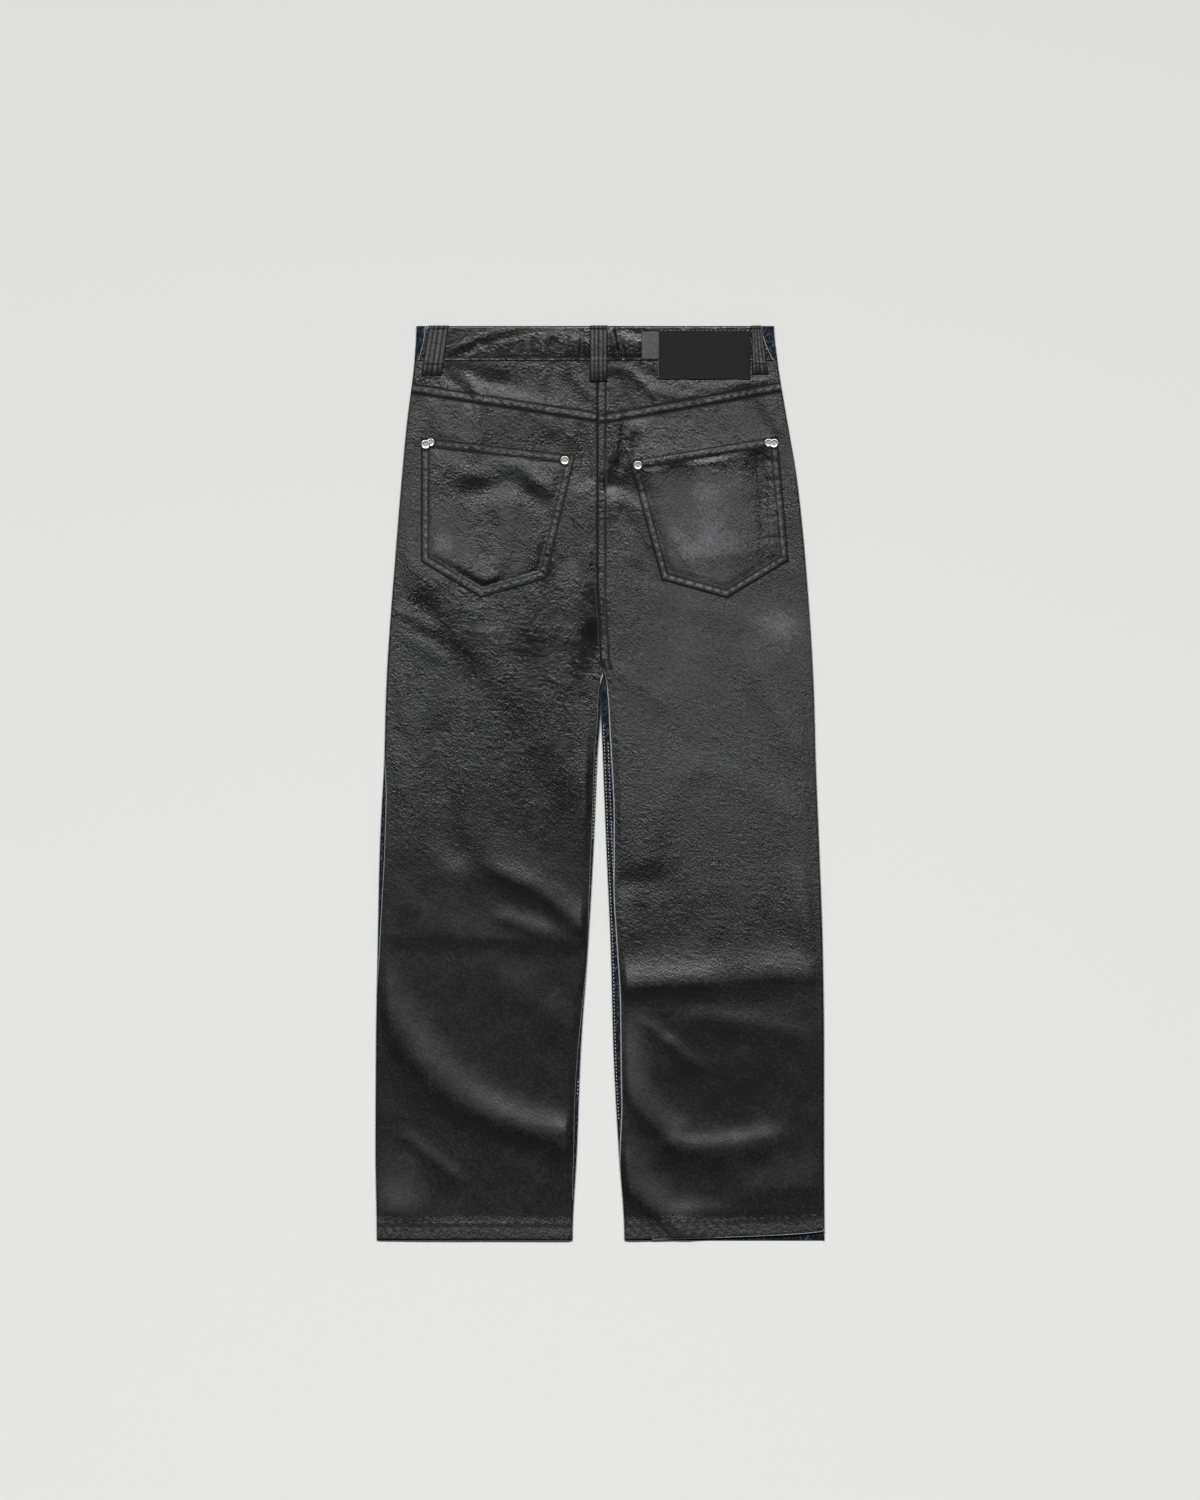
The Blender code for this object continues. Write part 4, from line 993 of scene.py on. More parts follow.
stitch_groove = 0.22 * line_at(drop - BAND_STITCHES, 0.8)
outer = placed(x, drop, top - fold_round - foot_round - stitch_groove)
inner = placed(x, drop, TOP + TURNED_CLOTH - WAISTBAND_CLOTH + fold_round * 0.9)
# painted light: slopes of the band that face the waist are painted paler, on top of wear on its crests
slope = (band_relief(x, drop + 1.0) - band_relief(x, drop - 1.0)) / 2.0
wear_and_painted_light = np.clip(0.2 + 0.6 * slope + 0.1 * band_relief(x, drop), 0.0, 1.0)
wear_and_painted_light -= marked(BAND_LINES, drop)
for bar, run in zip(BAND_BARS, (x + 9.0, 0.6 * x)):
    wear_and_painted_light += marked((bar,), drop) * light_bars(run)
waistband = cloth_piece("back_waistband", waxed_twill, outer, inner, wear_and_painted_light, handled=-0.62)
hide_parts("waistband_back")
band_row = [(-204.0, BAND_STITCHES), (196.0, BAND_STITCHES)]
band_thread = stitching("waistband_stitching", black_thread, [band_row], band_top)


def waist_top(x, drop):
    """The top of whatever lies at the waist: the band, or the yokes under it."""
    return np.where(drop <= WAISTBAND_DEPTH, band_top(x, drop), back_height(x, drop))


# ---------------------------------------------------------------------------------------------------
# Back pockets. Five-cornered patches of the same twill, turned in all round and sewn on with twin rows.
# Their openings are hemmed, and their slack cloth has set in hollows of its own.

Pocket = namedtuple("Pocket", "top_left top_right bottom_left point bottom_right")
POCKETS = {
    "pocket_left": Pocket((-205.5, 128), (-28, 148.5), (-205.5, 270.5), (-136.5, 312), (-62, 290)),
    "pocket_right": Pocket((33.5, 155), (204, 126.5), (70.5, 291.5), (146, 312.5), (217, 269.5)),
}
# each rivet's x, drop, the radius of its cap, and how far the cap it laps over raises it
Rivet = namedtuple("Rivet", "x drop radius raised")
RIVETS = {
    "rivet_left_lapped": Rivet(-194.6, 133.8, 4.7, 0),
    "rivet_left_outer": Rivet(-200.3, 136.2, 5.4, 1.1),
    "rivet_left_inner": Rivet(-40.5, 154.5, 5.2, 0),
    "rivet_right_lapped": Rivet(193.6, 134.2, 4.9, 0),
    "rivet_right_outer": Rivet(199.8, 134.9, 5.4, 1.1),
    "rivet_right_inner": Rivet(43.4, 160.2, 5.2, 0),
}
POCKET_BAND = 9.5
POCKET_ROWS = (1.7, 8.0)  # mm in from the edge of the two rows of stitches
POCKET_FOLDS = (
    Fold(-146, 190, -122, 186, 0, 10, 12, -0.6),
    Fold(-104, 180, -68, 203, 0, 11, 12, -0.9),
    Fold(-96, 160, -60, 184, 0, 10, 10, 0.7),
    Fold(-190, 262, -140, 286, 4, 24, 10, 0.9),
    Fold(-100, 205, -118, 285, 3, 8, 10, 0.6),
    Fold(-118, 235, -112, 300, 0, 8, 8, -0.6),
    Fold(-176, 160, -140, 172, 0, 10, 10, 0.4),
    Fold(88, 165, 104, 240, 3, 11, 12, -0.8),
    Fold(62, 168, 78, 235, 0, 8, 7, 0.5),
    Fold(128, 170, 150, 285, 4, 26, 20, 0.8),
    Fold(105, 262, 180, 256, 0, 58, 16, 1.3),
    Fold(184, 150, 186, 255, 0, 11, 14, -0.9),
    Fold(90, 250, 112, 292, 0, 8, 8, 0.7),
    Fold(75, 262, 92, 284, 0, 6, 6, 0.5),
)
# the puckers set in the right pocket's outer edge, and the dark hollow beside them
EDGE_FOLDS = (
    Fold(197, 168, 207, 262, 0, 7, 7, 0.5),
    Fold(186, 160, 190, 262, 0, 6, 6, -0.6),
    Fold(188, 153, 206, 158, 0, 3, 3, -0.5),
    Fold(190, 178, 208, 177, 0, 3, 3, -0.45),
    Fold(193, 244, 212, 243, 0, 2.5, 3, -0.7),
    Fold(193, 250, 212, 249, 0, 3, 4, 0.4),
    Fold(193, 220, 209, 219, 0, 3, 3, -0.25),
)
POCKET_GRID = 118


def pocket_places(pocket, shares, downs):
    """X and drop of a pocket's grid. Its lower edge is a wide V."""
    (lx, ld), (px, pd), (rx, rd) = pocket.bottom_left, pocket.point, pocket.bottom_right
    middle = (px - lx) / (rx - lx)
    low_x = np.interp(shares, (0.0, middle, 1.0), (lx, px, rx))
    low_drop = np.interp(shares, (0.0, middle, 1.0), (ld, pd, rd))
    high_x, high_drop = (mix(pocket.top_left[k], pocket.top_right[k], shares) for k in (0, 1))
    down = downs[:, None]
    return mix(high_x[None, :], low_x[None, :], down), mix(high_drop[None, :], low_drop[None, :], down)


def pocket_corners(pocket):
    """Its corners in order, down its left side and up its right one."""
    return [pocket.top_left, pocket.bottom_left, pocket.point, pocket.bottom_right, pocket.top_right]


def inside_edges(corners, x, drop):
    """How far inside each side of an outline each place lies, and how far along that side."""
    for (ax, ad), (bx, bd) in zip(corners, corners[1:] + corners[:1]):
        size = math.hypot(bx - ax, bd - ad)
        ux, ud = (bx - ax) / size, (bd - ad) / size
        yield (x - ax) * ud - (drop - ad) * ux, (x - ax) * ux + (drop - ad) * ud


def inset_corners(corners, inset):
    """The outline's corners moved in, each along both its sides."""
    moved = []
    for before, here, after in zip(corners[-1:] + corners[:-1], corners, corners[1:] + corners[:1]):
        a, b, c = (Vector(corner) for corner in (before, here, after))
        one, two = (b - a).normalized(), (c - b).normalized()
        normal_one, normal_two = Vector((one.y, -one.x)), Vector((two.y, -two.x))
        half = (normal_one + normal_two).normalized()
        moved.append(tuple(b + half * inset / half.dot(normal_one)))
    return moved


def pocket_slack(x, drop):
    return fold_height(POCKET_FOLDS, x, drop) + 0.55 * cockled(x, drop, 5.0)


def pocket_rise(pocket, x, drop):
    """The pocket's thickness: its turned edges, the stitched grooves in them, and its slack middle."""
    sides = list(inside_edges(pocket_corners(pocket), x, drop))
    nearest = np.min([inside for inside, run in sides], axis=0)
    rise = TURNED_CLOTH * eased((POCKET_BAND + 0.5 - nearest) / 1.0)
    slack = (pocket_slack(x, drop) + 0.5) * eased((nearest - POCKET_BAND) / 9.0)
    for inside, run in sides:
        rise = rise + 0.6 * pucker(np.maximum(0.0, np.abs(inside - 5.0) - 1.0), run, 5.0) * (nearest > 0.3)
    for row in POCKET_ROWS:
        rise = rise - 0.25 * line_at(nearest - row, 0.7)
    puckers = fold_height(EDGE_FOLDS, x, drop) * eased(nearest / 3.0)
    return rise + slack + puckers - 0.9 * rounding_at(nearest, 1.6)


# its marks, by how far they are in from its edge or out from a rivet's cap: painted shade lines along the
# edge and stitches, a painted shadow ring round each rivet, and pale bars of painted highlight between the
# rows
POCKET_LINES = (Mark(0.0, 1.5, 1.3), Mark(2.3, 0.8, 0.35), Mark(8.6, 1.1, 0.8))
POCKET_BARS = (Mark(5.4, 1.3, 1.5),)
RIVET_RINGS = (Mark(0.9, 1.0, 1.2),)


def pocket_marks(pocket, x, drop):
    """Painted shade lines beside a pocket's edge, stitches and rivets, less the painted highlight on the
    ridges between its rows.
    """
    sides = list(inside_edges(pocket_corners(pocket), x, drop))
    nearest = np.min([inside for inside, run in sides], axis=0)
    lines = marked(POCKET_LINES, nearest)
    for inside, run in sides:
        lines -= marked(POCKET_BARS, inside) * light_bars(run) * (nearest > inside - 0.1)
    for rivet in RIVETS.values():
        lines += marked(RIVET_RINGS, np.hypot(x - rivet.x, drop - rivet.drop) - rivet.radius)
    return lines


def pocket_top(pocket, x, drop):
    return back_height(x, drop) + LAID_GAP + CLOTH + pocket_rise(pocket, x, drop)


for node, pocket in POCKETS.items():
    even = np.linspace(0.0, 1.0, POCKET_GRID + 1)
    edge = np.array((0.0, 0.0025, 0.006, 0.01))
    shares = np.unique(np.concatenate([edge, even[2:-2], 1.0 - edge]))
    x, drop = pocket_places(pocket, shares, shares)
    under = back_height(x, drop) + LAID_GAP
    top = pocket_top(pocket, x, drop)
    # painted light: slopes of the pocket's slack that face the waist are painted paler, on top of the rubbed
    # wear
    slope = (pocket_slack(x, drop + 1.5) - pocket_slack(x, drop - 1.5)) / 3.0
    seat_side = -1 if node.endswith("left") else 1
    wear_and_painted_light = np.clip(rub_and_painted_light(seat_side, x, drop) + 1.6 * slope + 0.12 * (top - under - CLOTH), 0.0, 1.0)
    wear_and_painted_light = wear_and_painted_light - pocket_marks(pocket, x, drop)
    outer, inner = placed(x, drop, top), placed(x, drop, under)
    patch_pocket = cloth_piece("back_" + node, waxed_twill, outer, inner, wear_and_painted_light)
    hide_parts(node)
    rows = []
    for inset in POCKET_ROWS:
        corners = inset_corners(pocket_corners(pocket), inset)
        rows.append(corners + corners[:1])
    pocket_thread = stitching(
        node + "_stitching", black_thread, rows, lambda x, d, pocket=pocket: pocket_top(pocket, x, d)
    )


# ---------------------------------------------------------------------------------------------------
# Belt loops. Strips of the twill folded in three, with corded ribs down their length, turned under at
# both ends and held there by bartacks.

# where a strip's corners lie across at its top and foot, and the drops of both
Strip = namedtuple("Strip", "top_left top_right foot_left foot_right top foot")
LOOPS = {
    "loop_left": Strip(-196, -173.5, -205.5, -182, -0.5, 56.5),
    "loop_centre": Strip(-11.5, 8.5, -11.5, 8.5, -0.5, 63.5),
    "loop_right": Strip(174, 185.2, 174.8, 193.6, -0.5, 55),
}
LOOP_CLOTH = 1.8
LOOP_TURN = 10.0  # how far the foot is turned under
RIBS = 4
RIB_HEIGHT = 0.32


def strip_places(strip, shares, downs):
    down = downs[:, None]
    left, right = mix(strip.top_left, strip.foot_left, down), mix(strip.top_right, strip.foot_right, down)
    return mix(left, right, shares[None, :]), mix(strip.top, strip.foot, down) + 0.0 * shares[None, :]


def bedded(x, drop):
    """The height a stiff strip lies at: that of the highest cloth across it, softened down its length."""
    reach = np.stack([waist_top(x, drop + shift) for shift in (-3.0, -1.5, 0.0, 1.5, 3.0)])
    return reach.max(axis=(0, 2))[:, None] + LAID_GAP + 0.0 * x


def edge_shares(count, width, edge=0.5):
    """Even shares with close ones at both ends, so an edge can be rounded."""
    return np.unique(np.concatenate([np.linspace(0.0, 1.0, count), [edge / width, 1.0 - edge / width]]))


for name, loop in LOOPS.items():
    width, length = loop.top_right - loop.top_left, loop.foot - loop.top
    x, drop = strip_places(loop, edge_shares(37, width), edge_shares(61, length))
    shares = edge_shares(37, width)[None, :]
    under = bedded(x, drop)
    ribs = RIB_HEIGHT * np.abs(np.sin(np.pi * RIBS * shares)) ** 0.6
    turned = 0.4 * eased((drop - (loop.foot - LOOP_TURN - 6.0)) / 14.0)
    tacks = 0.15 * line_at(drop - loop.top - 3.5, 1.4) + 0.2 * line_at(drop - loop.foot + 3.0, 1.4)
    edge = np.minimum(np.minimum(shares, 1.0 - shares) * width, np.minimum(drop - loop.top, loop.foot - drop))
    rounding = 0.7 * rounding_at(edge, 0.9)
    uneven = 0.15 * cockled(x, drop, 14.0)
    top = under + LOOP_CLOTH + ribs + turned - tacks - rounding + uneven
    # painted light: the ribs' crests are paler, partly wear and partly painted highlight, the cloth is darker
    # towards the turned foot, and a line of painted shade runs round the strip's edges
    on_rib = (ribs / RIB_HEIGHT) ** 2 * (0.6 + 0.4 * np.sin(7.0 * shares) ** 2)
    wear_and_painted_light = mix(-0.5, 1.0, on_rib) + 0.3 * uneven - 0.7 * eased((drop - loop.foot + 14.0) / 8.0)
    wear_and_painted_light = np.clip(wear_and_painted_light, -0.6, 1.0) - 0.9 * line_at(edge, 0.7)
    outer, inner = placed(x, drop, top), placed(x, drop, under)
    strip = cloth_piece("belt_" + name, waxed_twill, outer, inner, wear_and_painted_light, crinkling=0.6, handled=0.5)
    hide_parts(name)
    tack_lines = []
    for down in (loop.top + 3.0, loop.top + 4.2, loop.foot - 3.4, loop.foot - 2.2):
        share = (down - loop.top) / length
        left, right = mix(loop.top_left, loop.foot_left, share), mix(loop.top_right, loop.foot_right, share)
        tack_lines.append([(left + 1.0, down), (right - 1.0, down)])
    level = float(under.max()) + LOOP_CLOTH + 0.45
    tack = stitching(
        name + "_bartacks", black_thread, tack_lines, lambda x, d, level=level: level + 0.0 * x, 1.5, 2.2
    )


# ---------------------------------------------------------------------------------------------------
# Patch and tab. The patch is a rectangle of smooth black leather sewn over the waistband at the wearer's
# right. The tab is a smaller piece with a grey nap, which the patch's left edge covers.

PATCH = Strip(67.0, 172.6, 67.0, 172.6, 4.8, 61.2)
TAB = Strip(48.0, 66.6, 48.0, 66.6, 6.6, 38.0)
HAIR_LENGTH = 7.0  # fine creases of the leather run up and down it
HAIR_WIDTH = 0.9

# Pigmented cow leather, pressed smooth: blacker than the waxed cloth and even, with a dull satin finish.
patch_leather, shader = new_material("pressed_black_leather")
place = add_node(patch_leather, "TexCoord").outputs["Object"]
hair_place = add_node(
    patch_leather,
    "Mapping",
    {
        "Vector": place,
        "Rotation": (0.0, 0.0, -0.16),
        "Scale": (HAIR_WIDTH * MM, HAIR_LENGTH * MM, HAIR_WIDTH * MM),
    },
    vector_type="TEXTURE",
)
hair = add_node(
    patch_leather, "TexNoise", {"Vector": hair_place.outputs["Vector"], "Scale": 1.0, "Detail": 3.0}
)
bloom = add_node(patch_leather, "TexNoise", {"Vector": place, "Scale": 26.0, "Detail": 3.0})
tones = {"Factor": bloom.outputs["Fac"], 6: linear("#070708"), 7: linear("#131314")}
shade = add_node(patch_leather, "Mix", tones, data_type="RGBA")
bump = add_node(
    patch_leather, "Bump", {"Strength": 0.5, "Distance": 0.12 * MM, "Height": hair.outputs["Fac"]}
)
looks = {"Base Color": shade.outputs[2], "Roughness": 0.7, "Specular IOR Level": 0.25}
fill(patch_leather, shader, {**looks, "Normal": bump.outputs["Normal"]})

# The tab's leather is left grey and has a soft nap.
tab_leather, shader = new_material("grey_napped_leather")
place = add_node(tab_leather, "TexCoord").outputs["Object"]
nap = add_node(tab_leather, "TexNoise", {"Vector": place, "Scale": 320.0, "Detail": 4.0})
tones = {"Factor": nap.outputs["Fac"], 6: linear("#242425"), 7: linear("#5c5c5d")}
shade = add_node(tab_leather, "Mix", tones, data_type="RGBA")
bump = add_node(tab_leather, "Bump", {"Strength": 0.5, "Distance": 0.15 * MM, "Height": nap.outputs["Fac"]})
looks = {"Base Color": shade.outputs[2], "Roughness": 0.7, "Normal": bump.outputs["Normal"]}
fill(tab_leather, shader, looks)

grey_thread = thread_material("grey_spun_thread", "#77777a", 0.6)


def leather_piece(name, node, strip, thickness, material, columns, rows):
    width, length = strip.top_right - strip.top_left, strip.foot - strip.top
    shares, downs = edge_shares(columns, width), edge_shares(rows, length)
    x, drop = strip_places(strip, shares, downs)
    under = bedded(x, drop)
    edge = np.min([x - strip.top_left, strip.top_right - x, drop - strip.top, strip.foot - drop], axis=0)
    rounding = 0.5 * thickness * rounding_at(edge, 0.7)
    groove = 0.2 * line_at(edge - 2.0, 0.7)
    top = under + thickness - rounding - groove + 0.2 * cockled(x, drop, 21.0)
    piece = cloth_piece(name, material, placed(x, drop, top), placed(x, drop, under), 0.0 * x)
    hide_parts(node)
    return lambda ax, ad: np.interp(ad, drop[:, 0], top[:, top.shape[1] // 2])


patch_height = leather_piece("leather_patch", "patch", PATCH, 1.1, patch_leather, 74, 42)
tab_height = leather_piece("leather_tab", "patch_tab", TAB, 0.8, tab_leather, 16, 24)
patch_rows = [
    [(67.6, 5.3), (172.0, 5.3)],
    [(69.0, 59.4), (170.6, 59.4)],
    [(69.0, 6.0), (69.0, 59.0)],
    [(170.6, 6.0), (170.6, 59.0)],
]
patch_thread = stitching("patch_stitching", grey_thread, patch_rows[:1], patch_height, 5.0, 3.2)
fine_thread = stitching("patch_side_stitching", black_thread, patch_rows[1:], patch_height)
# the cut edge of the leather shows as a fine grey line at its left side and its foot
edge_lines = [[(67.3, 6.0), (67.3, 60.6)], [(67.6, 60.9), (172.2, 60.9)]]
cut_edge = stitching(
    "patch_cut_edge", grey_thread, edge_lines, lambda x, d: patch_height(x, d) - 0.45, 1.6, 2.6
)
tab_thread = stitching("tab_stitching", grey_thread, [[(48.8, 7.3), (66.2, 7.3)]], tab_height)


# ---------------------------------------------------------------------------------------------------
# Front. The leg fronts are dark indigo denim left unwaxed. They lie on the floor, roll up round both
# sides of each leg and show there as a narrow strip, with the twin inseam rows in cream thread.

FLY_WIDTH = 40.0
FLY_LENGTH = 175.0
FLY_CURVE = 45.0
FLY_ROOM = 0.5
FRONT_REACH = 12.0

# Rope-dyed indigo denim: a matt blue-black warp over a grey weft that shows between its lines.
DENIM_LINE = 1.6  # mm between twill lines, half as coarse again as the real ones, which would not show

indigo_denim, shader = new_material("indigo_denim")
place = add_node(indigo_denim, "TexCoord").outputs["Object"]
line_place = add_node(
    indigo_denim,
    "Mapping",
    {
        "Vector": place,
        "Rotation": (0.0, 0.0, math.radians(62.0)),
        "Scale": (6.0 * MM, DENIM_LINE * MM, DENIM_LINE * MM),
    },
    vector_type="TEXTURE",
)
warp = add_node(
    indigo_denim, "TexNoise", {"Vector": line_place.outputs["Vector"], "Scale": 1.0, "Detail": 2.0}
)
fade = add_node(indigo_denim, "TexNoise", {"Vector": place, "Scale": 520.0, "Detail": 3.0})
threads = add_node(
    indigo_denim, "Math", {0: warp.outputs["Fac"], 1: fade.outputs["Fac"]}, operation="MULTIPLY"
)
shade = add_node(indigo_denim, "ValToRGB", {"Fac": threads.outputs[0]})
shade.color_ramp.elements[0].position = 0.2
shade.color_ramp.elements[0].color = linear("#04070c")
shade.color_ramp.elements[1].position = 0.4
shade.color_ramp.elements[1].color = linear("#46566a")
shade.color_ramp.elements.new(0.28).color = linear("#111b28")
bump = add_node(indigo_denim, "Bump", {"Strength": 0.6, "Distance": 0.2 * MM, "Height": warp.outputs["Fac"]})
looks = {"Base Color": shade.outputs["Color"], "Roughness": 0.85, "Specular IOR Level": 0.2}
fill(indigo_denim, shader, {**looks, "Sheen Weight": 0.08, "Normal": bump.outputs["Normal"]})

cream_thread = thread_material("cream_spun_thread", "#efe5cd", 0.7)


def fly_width(drop, grown=0.0):
    past = np.maximum(0.0, drop - (FLY_LENGTH - FLY_CURVE)) / (FLY_CURVE + grown)
    return (FLY_WIDTH + grown) * np.sqrt(np.maximum(0.0, 1.0 - past * past))


def front_section(side, kind, value, drop, fly):
    """X, height and inward direction of the front's outer face down one column."""
    if kind == "middle":
        first = front_section(side, "outer", 1.0, drop, fly)[0]
        last = front_section(side, "inner", 1.0, drop, fly)[0]
        return mix(first, last, value), np.zeros(drop.shape), np.zeros(drop.shape), np.ones(drop.shape)
    toward = -side if kind == "outer" else side
    edge = seam_run(showing(side, kind, drop)) - ROLL_GAP
    if kind == "inner":
        edge = mix(-QUARTER_ROLL, edge, eased((drop - CROTCH_DROP - 6.0) / 26.0))
    inset, height, across, up = rolled(mix(edge, -QUARTER_ROLL - FRONT_REACH, value))
    x = outline(side, kind, drop) + toward * inset
    if kind == "inner":
        above = drop <= CROTCH_DROP
        taken = fly_width(drop, FLY_ROOM) if fly else 0.0
        seam = FRONT_SEAM_X + side * (SEAM_GAP / 2.0 + taken + value * FRONT_REACH)
        x, height = np.where(above, seam, x), np.where(above, 0.0, height)
        across, up = np.where(above, 0.0, across), np.where(above, 1.0, up)
    return x, height, toward * across, up


def front_panel(name, node, side, drops, thickness, fly, steps=17, middles=16):
    edge = [k / (steps - 1.0) for k in range(steps)]
    columns = [("outer", value) for value in edge]
    columns += [("middle", k / (middles + 1.0)) for k in range(1, middles + 1)]
    columns += [("inner", value) for value in reversed(edge)]
    outer, inner = (np.zeros((len(drops), len(columns), 3)) for _ in range(2))
    for k, (kind, value) in enumerate(columns):
        x, height, across, up = front_section(side, kind, value, drops, fly)
        outer[:, k] = placed(x, drops, height)
        inner[:, k] = placed(x + across * thickness, drops, height + up * thickness)
    piece = cloth_piece(name, indigo_denim, outer, inner, np.zeros(outer.shape[:2]))
    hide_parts(node)
    return piece


# the fly's rows, which lie closer where its foot curves in
FLY_DROPS = (WAISTBAND_DEPTH + SEAM_GAP, 53.0, 65.5, 90.0, 110.0, 130.0)
FLY_DROPS += (138.0, 145.0, 151.0, 157.0, 162.0, 166.0, 169.0, 171.5, 173.2, 174.2)
front_drops = np.concatenate(
    [
        FLY_DROPS,
        [FLY_LENGTH + FLY_ROOM],
        np.linspace(180.0, CROTCH_DROP, 44),
        np.linspace(CROTCH_DROP + 2.0, CROTCH_DROP + 46.0, 20),
        np.linspace(CROTCH_DROP + 50.0, LENGTH - HEM_DEPTH, 125),
        np.linspace(LENGTH - HEM_DEPTH + 0.6, LENGTH + 0.5, 7),
    ]
)
for side, name in ((-1, "left_front_leg"), (1, "right_front_leg")):
    front = front_panel(name, side_name("front", side), side, front_drops, CLOTH, side < 0)


def strip_height(x, drop):
    side = np.where(x < 0.0, -1, 1)
    edge = np.where(side < 0, outline(-1, "inner", drop), outline(1, "inner", drop))
    inset = np.clip((x - edge) * side, 0.0, EDGE_RADIUS)
    return EDGE_RADIUS + np.sqrt(np.maximum(0.0, EDGE_RADIUS**2 - (EDGE_RADIUS - inset) ** 2))


inseam_rows = [
    [(outline(1, "inner", d) + 2.2, d) for d in np.linspace(458.0, 912.0, 60)],
    [(outline(1, "inner", d) + 6.6, d) for d in np.linspace(478.0, 636.0, 30)],
    [(outline(-1, "inner", d) - 1.3, d) for d in np.linspace(495.0, 590.0, 20)],
    [(outline(-1, "inner", d) - 1.6, d) for d in np.linspace(866.0, 884.0, 5)],
]
inseam_thread = stitching("inseam_stitching", cream_thread, inseam_rows, strip_height, 4.0, 1.9)


# ---------------------------------------------------------------------------------------------------
# Front waistband and fly. Two halves of a doubled band, which meet at the button, and the closed fly's
# band beside the centre seam. They lie underneath and only the waistband's ends show.

band_rows = np.array((0.0, 0.4, 1.2, 3.0, *np.linspace(6.0, 36.0, 11), 38.5, WAISTBAND_DEPTH))
for side, name in ((-1, "left_front_waistband"), (1, "right_front_waistband")):
    node = side_name("waistband_front", side)
    half_band = front_panel(name, node, side, band_rows, WAISTBAND_CLOTH, False)

fly_drops = np.array(FLY_DROPS)[:, None]
fly_x = FRONT_SEAM_X - SEAM_GAP / 2.0 - np.linspace(1.0, 0.0, 14)[None, :] * fly_width(fly_drops)
fly_drops = fly_drops + 0.0 * fly_x
fly_piece = cloth_piece(
    "closed_fly",
    indigo_denim,
    placed(fly_x, fly_drops, 0.0 * fly_x),
    placed(fly_x, fly_drops, CLOTH + TURNED_CLOTH + 0.0 * fly_x),
    0.0 * fly_x,
)
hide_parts("fly")


# ---------------------------------------------------------------------------------------------------
# Raw edges. Where the back's cut edge shows against the front, its undyed core and a narrow line of
# filler make a pale cord about a millimetre wide.

CORD_STEPS = (-0.55, -0.3, 0.05, 0.4, 0.75)
CORD_RISE = (0.0, 0.34, 0.46, 0.34, 0.0)
CORD_SUNK = 0.15

raw_edge, shader = new_material("undyed_cotton_edge")
place = add_node(raw_edge, "TexCoord").outputs["Object"]
fray = add_node(raw_edge, "TexNoise", {"Vector": place, "Scale": 420.0, "Detail": 3.0})
tones = {"Factor": fray.outputs["Fac"], 6: linear("#5c5d5e"), 7: linear("#cbccce")}
shade = add_node(raw_edge, "Mix", tones, data_type="RGBA")
fill(raw_edge, shader, {"Base Color": shade.outputs[2], "Roughness": 0.9})


def cord_strip(name, x, drop, height):
    """A pale cord between lines of points, one for each of its steps across."""
    rise = np.array(CORD_RISE)[None, :]
    outer, inner = placed(x, drop, height + rise), placed(x, drop, height - CORD_SUNK)
    piece = cloth_piece(name, raw_edge, outer, inner, 0.0 * x)


def edge_cord(name, side, kind, start, end, count, breadth=1.0):
    drops = np.linspace(start, end, count)
    x, height = np.zeros((2, count, len(CORD_STEPS)))
    for k, step in enumerate(CORD_STEPS):
        x[:, k], height[:, k], *_ = back_section(side, kind, step * breadth, drops)
    cord_strip(name, x, drops[:, None] + 0.0 * x, height)


edge_cord("raw_edge_left_outer", -1, "outer", 490.0, 770.0, 120, 0.6)
edge_cord("raw_edge_left_inner", -1, "inner", CROTCH_DROP + 1.0, 1003.0, 300, 0.36)
edge_cord("raw_edge_right_inner", 1, "inner", CROTCH_DROP + 1.0, 985.0, 300)

# along the right hem, where the front hangs lower
shares = np.linspace(0.0, 0.86, 160)
hem_drop = back_hem_drop(1, shares)
hem_x = mix(outline(1, "outer", hem_drop), outline(1, "inner", hem_drop), shares)
across = np.array(CORD_STEPS)[None, :]
x, drop = hem_x[:, None] + 0.0 * across, hem_drop[:, None] + 0.6 - across
cord_strip("raw_edge_right_hem", x, drop, TOP + 0.2 + 0.0 * x)

# down both slants of the back waistband
for side in (-1, 1):
    drops = np.linspace(0.5, 39.5, 40)
    x = np.stack([band_edge_x(side, step, drops) for step in CORD_STEPS], axis=1)
    height = TOP + TURNED_CLOTH - 0.35 + 0.0 * x
    cord_strip(side_name("raw_edge_waist", side), x, drops[:, None] + 0.0 * x, height)


# ---------------------------------------------------------------------------------------------------
# Rivets and button. Nickel-plated steel caps, struck through the pocket corners, and the plain shank
# button that closes the waist underneath.

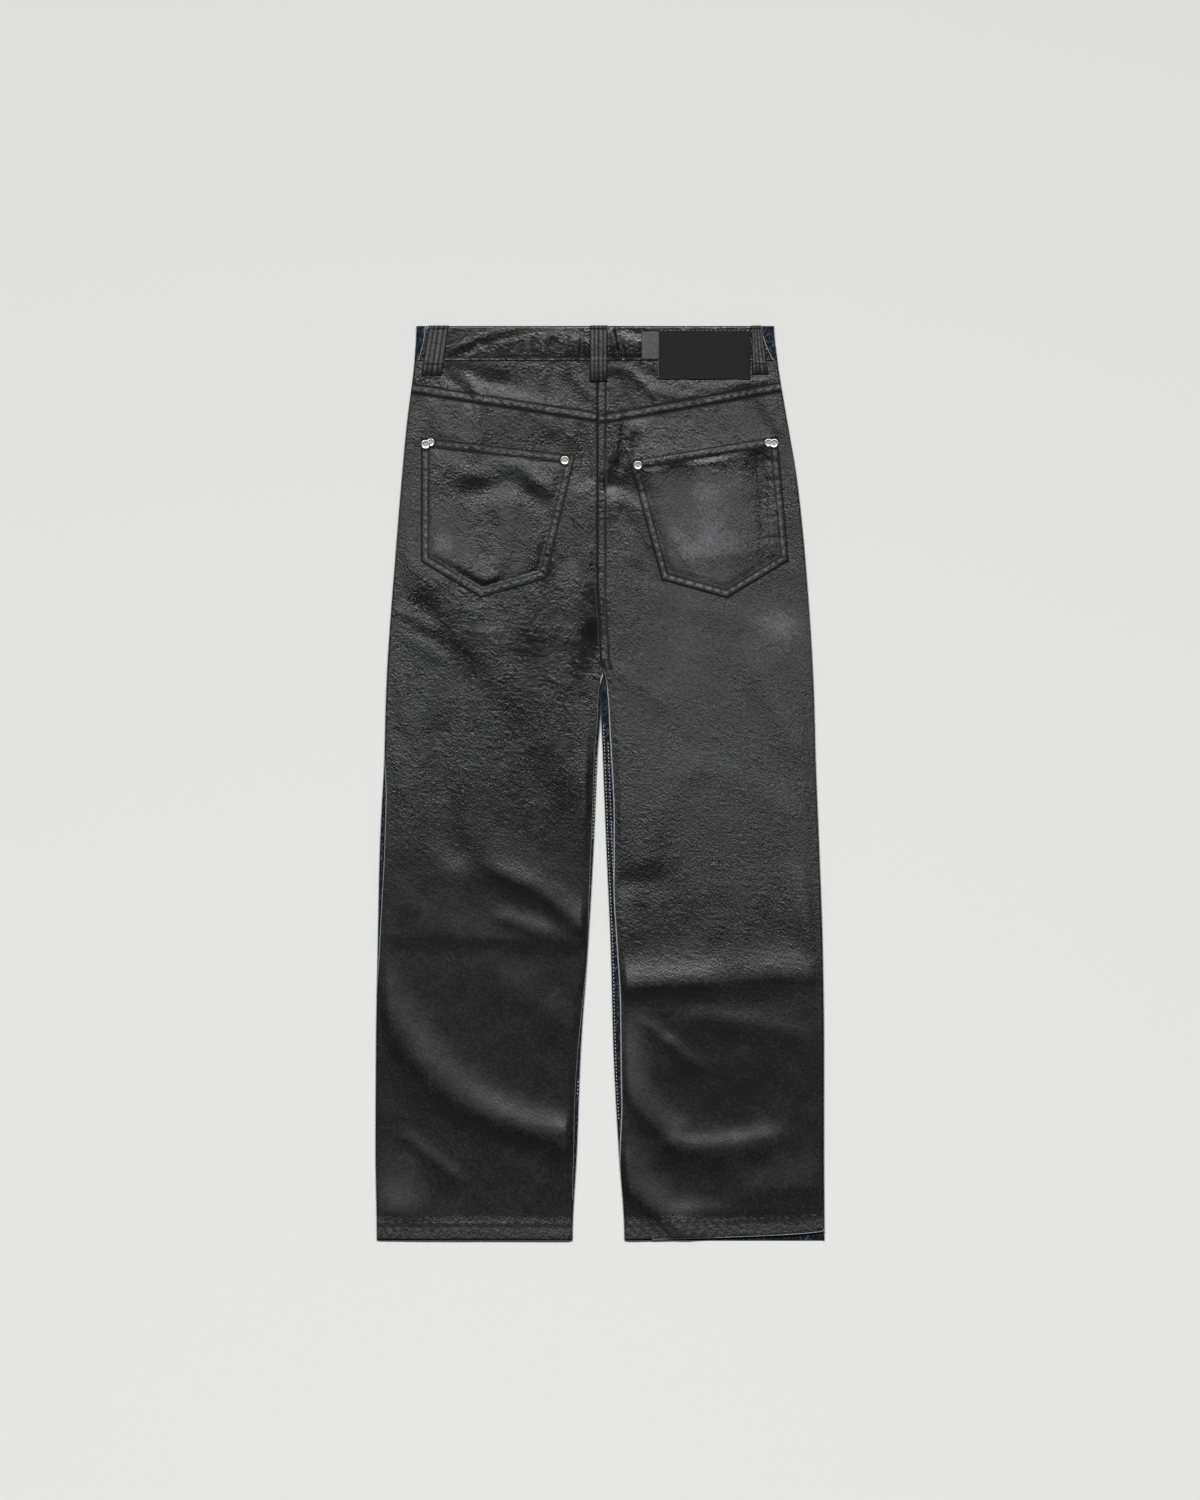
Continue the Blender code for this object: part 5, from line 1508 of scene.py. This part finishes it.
# the cap's profile, out from its middle, as shares of its radius, with its heights
CAP_SIDE = ((0.0, 0.0), (0.97, 0.0), (1.0, 0.25), (0.97, 0.6), (0.88, 0.92), (0.8, 1.02))
CAP_PROFILE = (*CAP_SIDE, (0.74, 0.98), (0.7, 0.9), (0.35, 0.94), (0.0, 0.96))
CAP_SIDES = 40
# Nickel plate, brushed by wear: bright, with fine scratches that spread the highlight.
nickel, shader = new_material("worn_nickel_plate")
place = add_node(nickel, "TexCoord").outputs["Object"]
scratch = add_node(nickel, "TexNoise", {"Vector": place, "Scale": 900.0, "Detail": 3.0})
gloss = add_node(nickel, "MapRange", {"Value": scratch.outputs["Fac"], "To Min": 0.27, "To Max": 0.37})
bump = add_node(nickel, "Bump", {"Strength": 0.3, "Distance": 0.08 * MM, "Height": scratch.outputs["Fac"]})
looks = {"Base Color": linear("#b9b9b6"), "Metallic": 1.0, "Roughness": gloss.outputs["Result"]}
fill(nickel, shader, {**looks, "Normal": bump.outputs["Normal"]})

for name, rivet in RIVETS.items():
    pocket = POCKETS[name.replace("rivet", "pocket").rsplit("_", 1)[0]]
    place = np.array([[rivet.x, rivet.drop]])
    seat = float(pocket_top(pocket, place[:, 0], place[:, 1])[0]) - 0.1 + rivet.raised
    bm = bmesh.new()
    ring = [bm.verts.new((rivet.radius * out * MM, 0.0, up * MM)) for out, up in CAP_PROFILE]
    for one, two in zip(ring, ring[1:]):
        bm.edges.new((one, two))
    whole = bm.verts[:] + bm.edges[:]
    turn = {"axis": (0, 0, 1), "cent": (0, 0, 0), "angle": math.tau, "steps": CAP_SIDES, "use_merge": True}
    bmesh.ops.spin(bm, geom=whole, **turn)
    bmesh.ops.remove_doubles(bm, verts=bm.verts[:], dist=1e-6)
    bmesh.ops.recalc_face_normals(bm, faces=bm.faces[:])
    where = placed(place[:, 0], place[:, 1], np.array([seat]))[0]
    bmesh.ops.translate(bm, vec=where, verts=bm.verts[:])
    cap = add_piece(name + "_cap", bm, nickel, 30.0)
    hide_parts(name)
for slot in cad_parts["button"].material_slots:
    slot.material = nickel
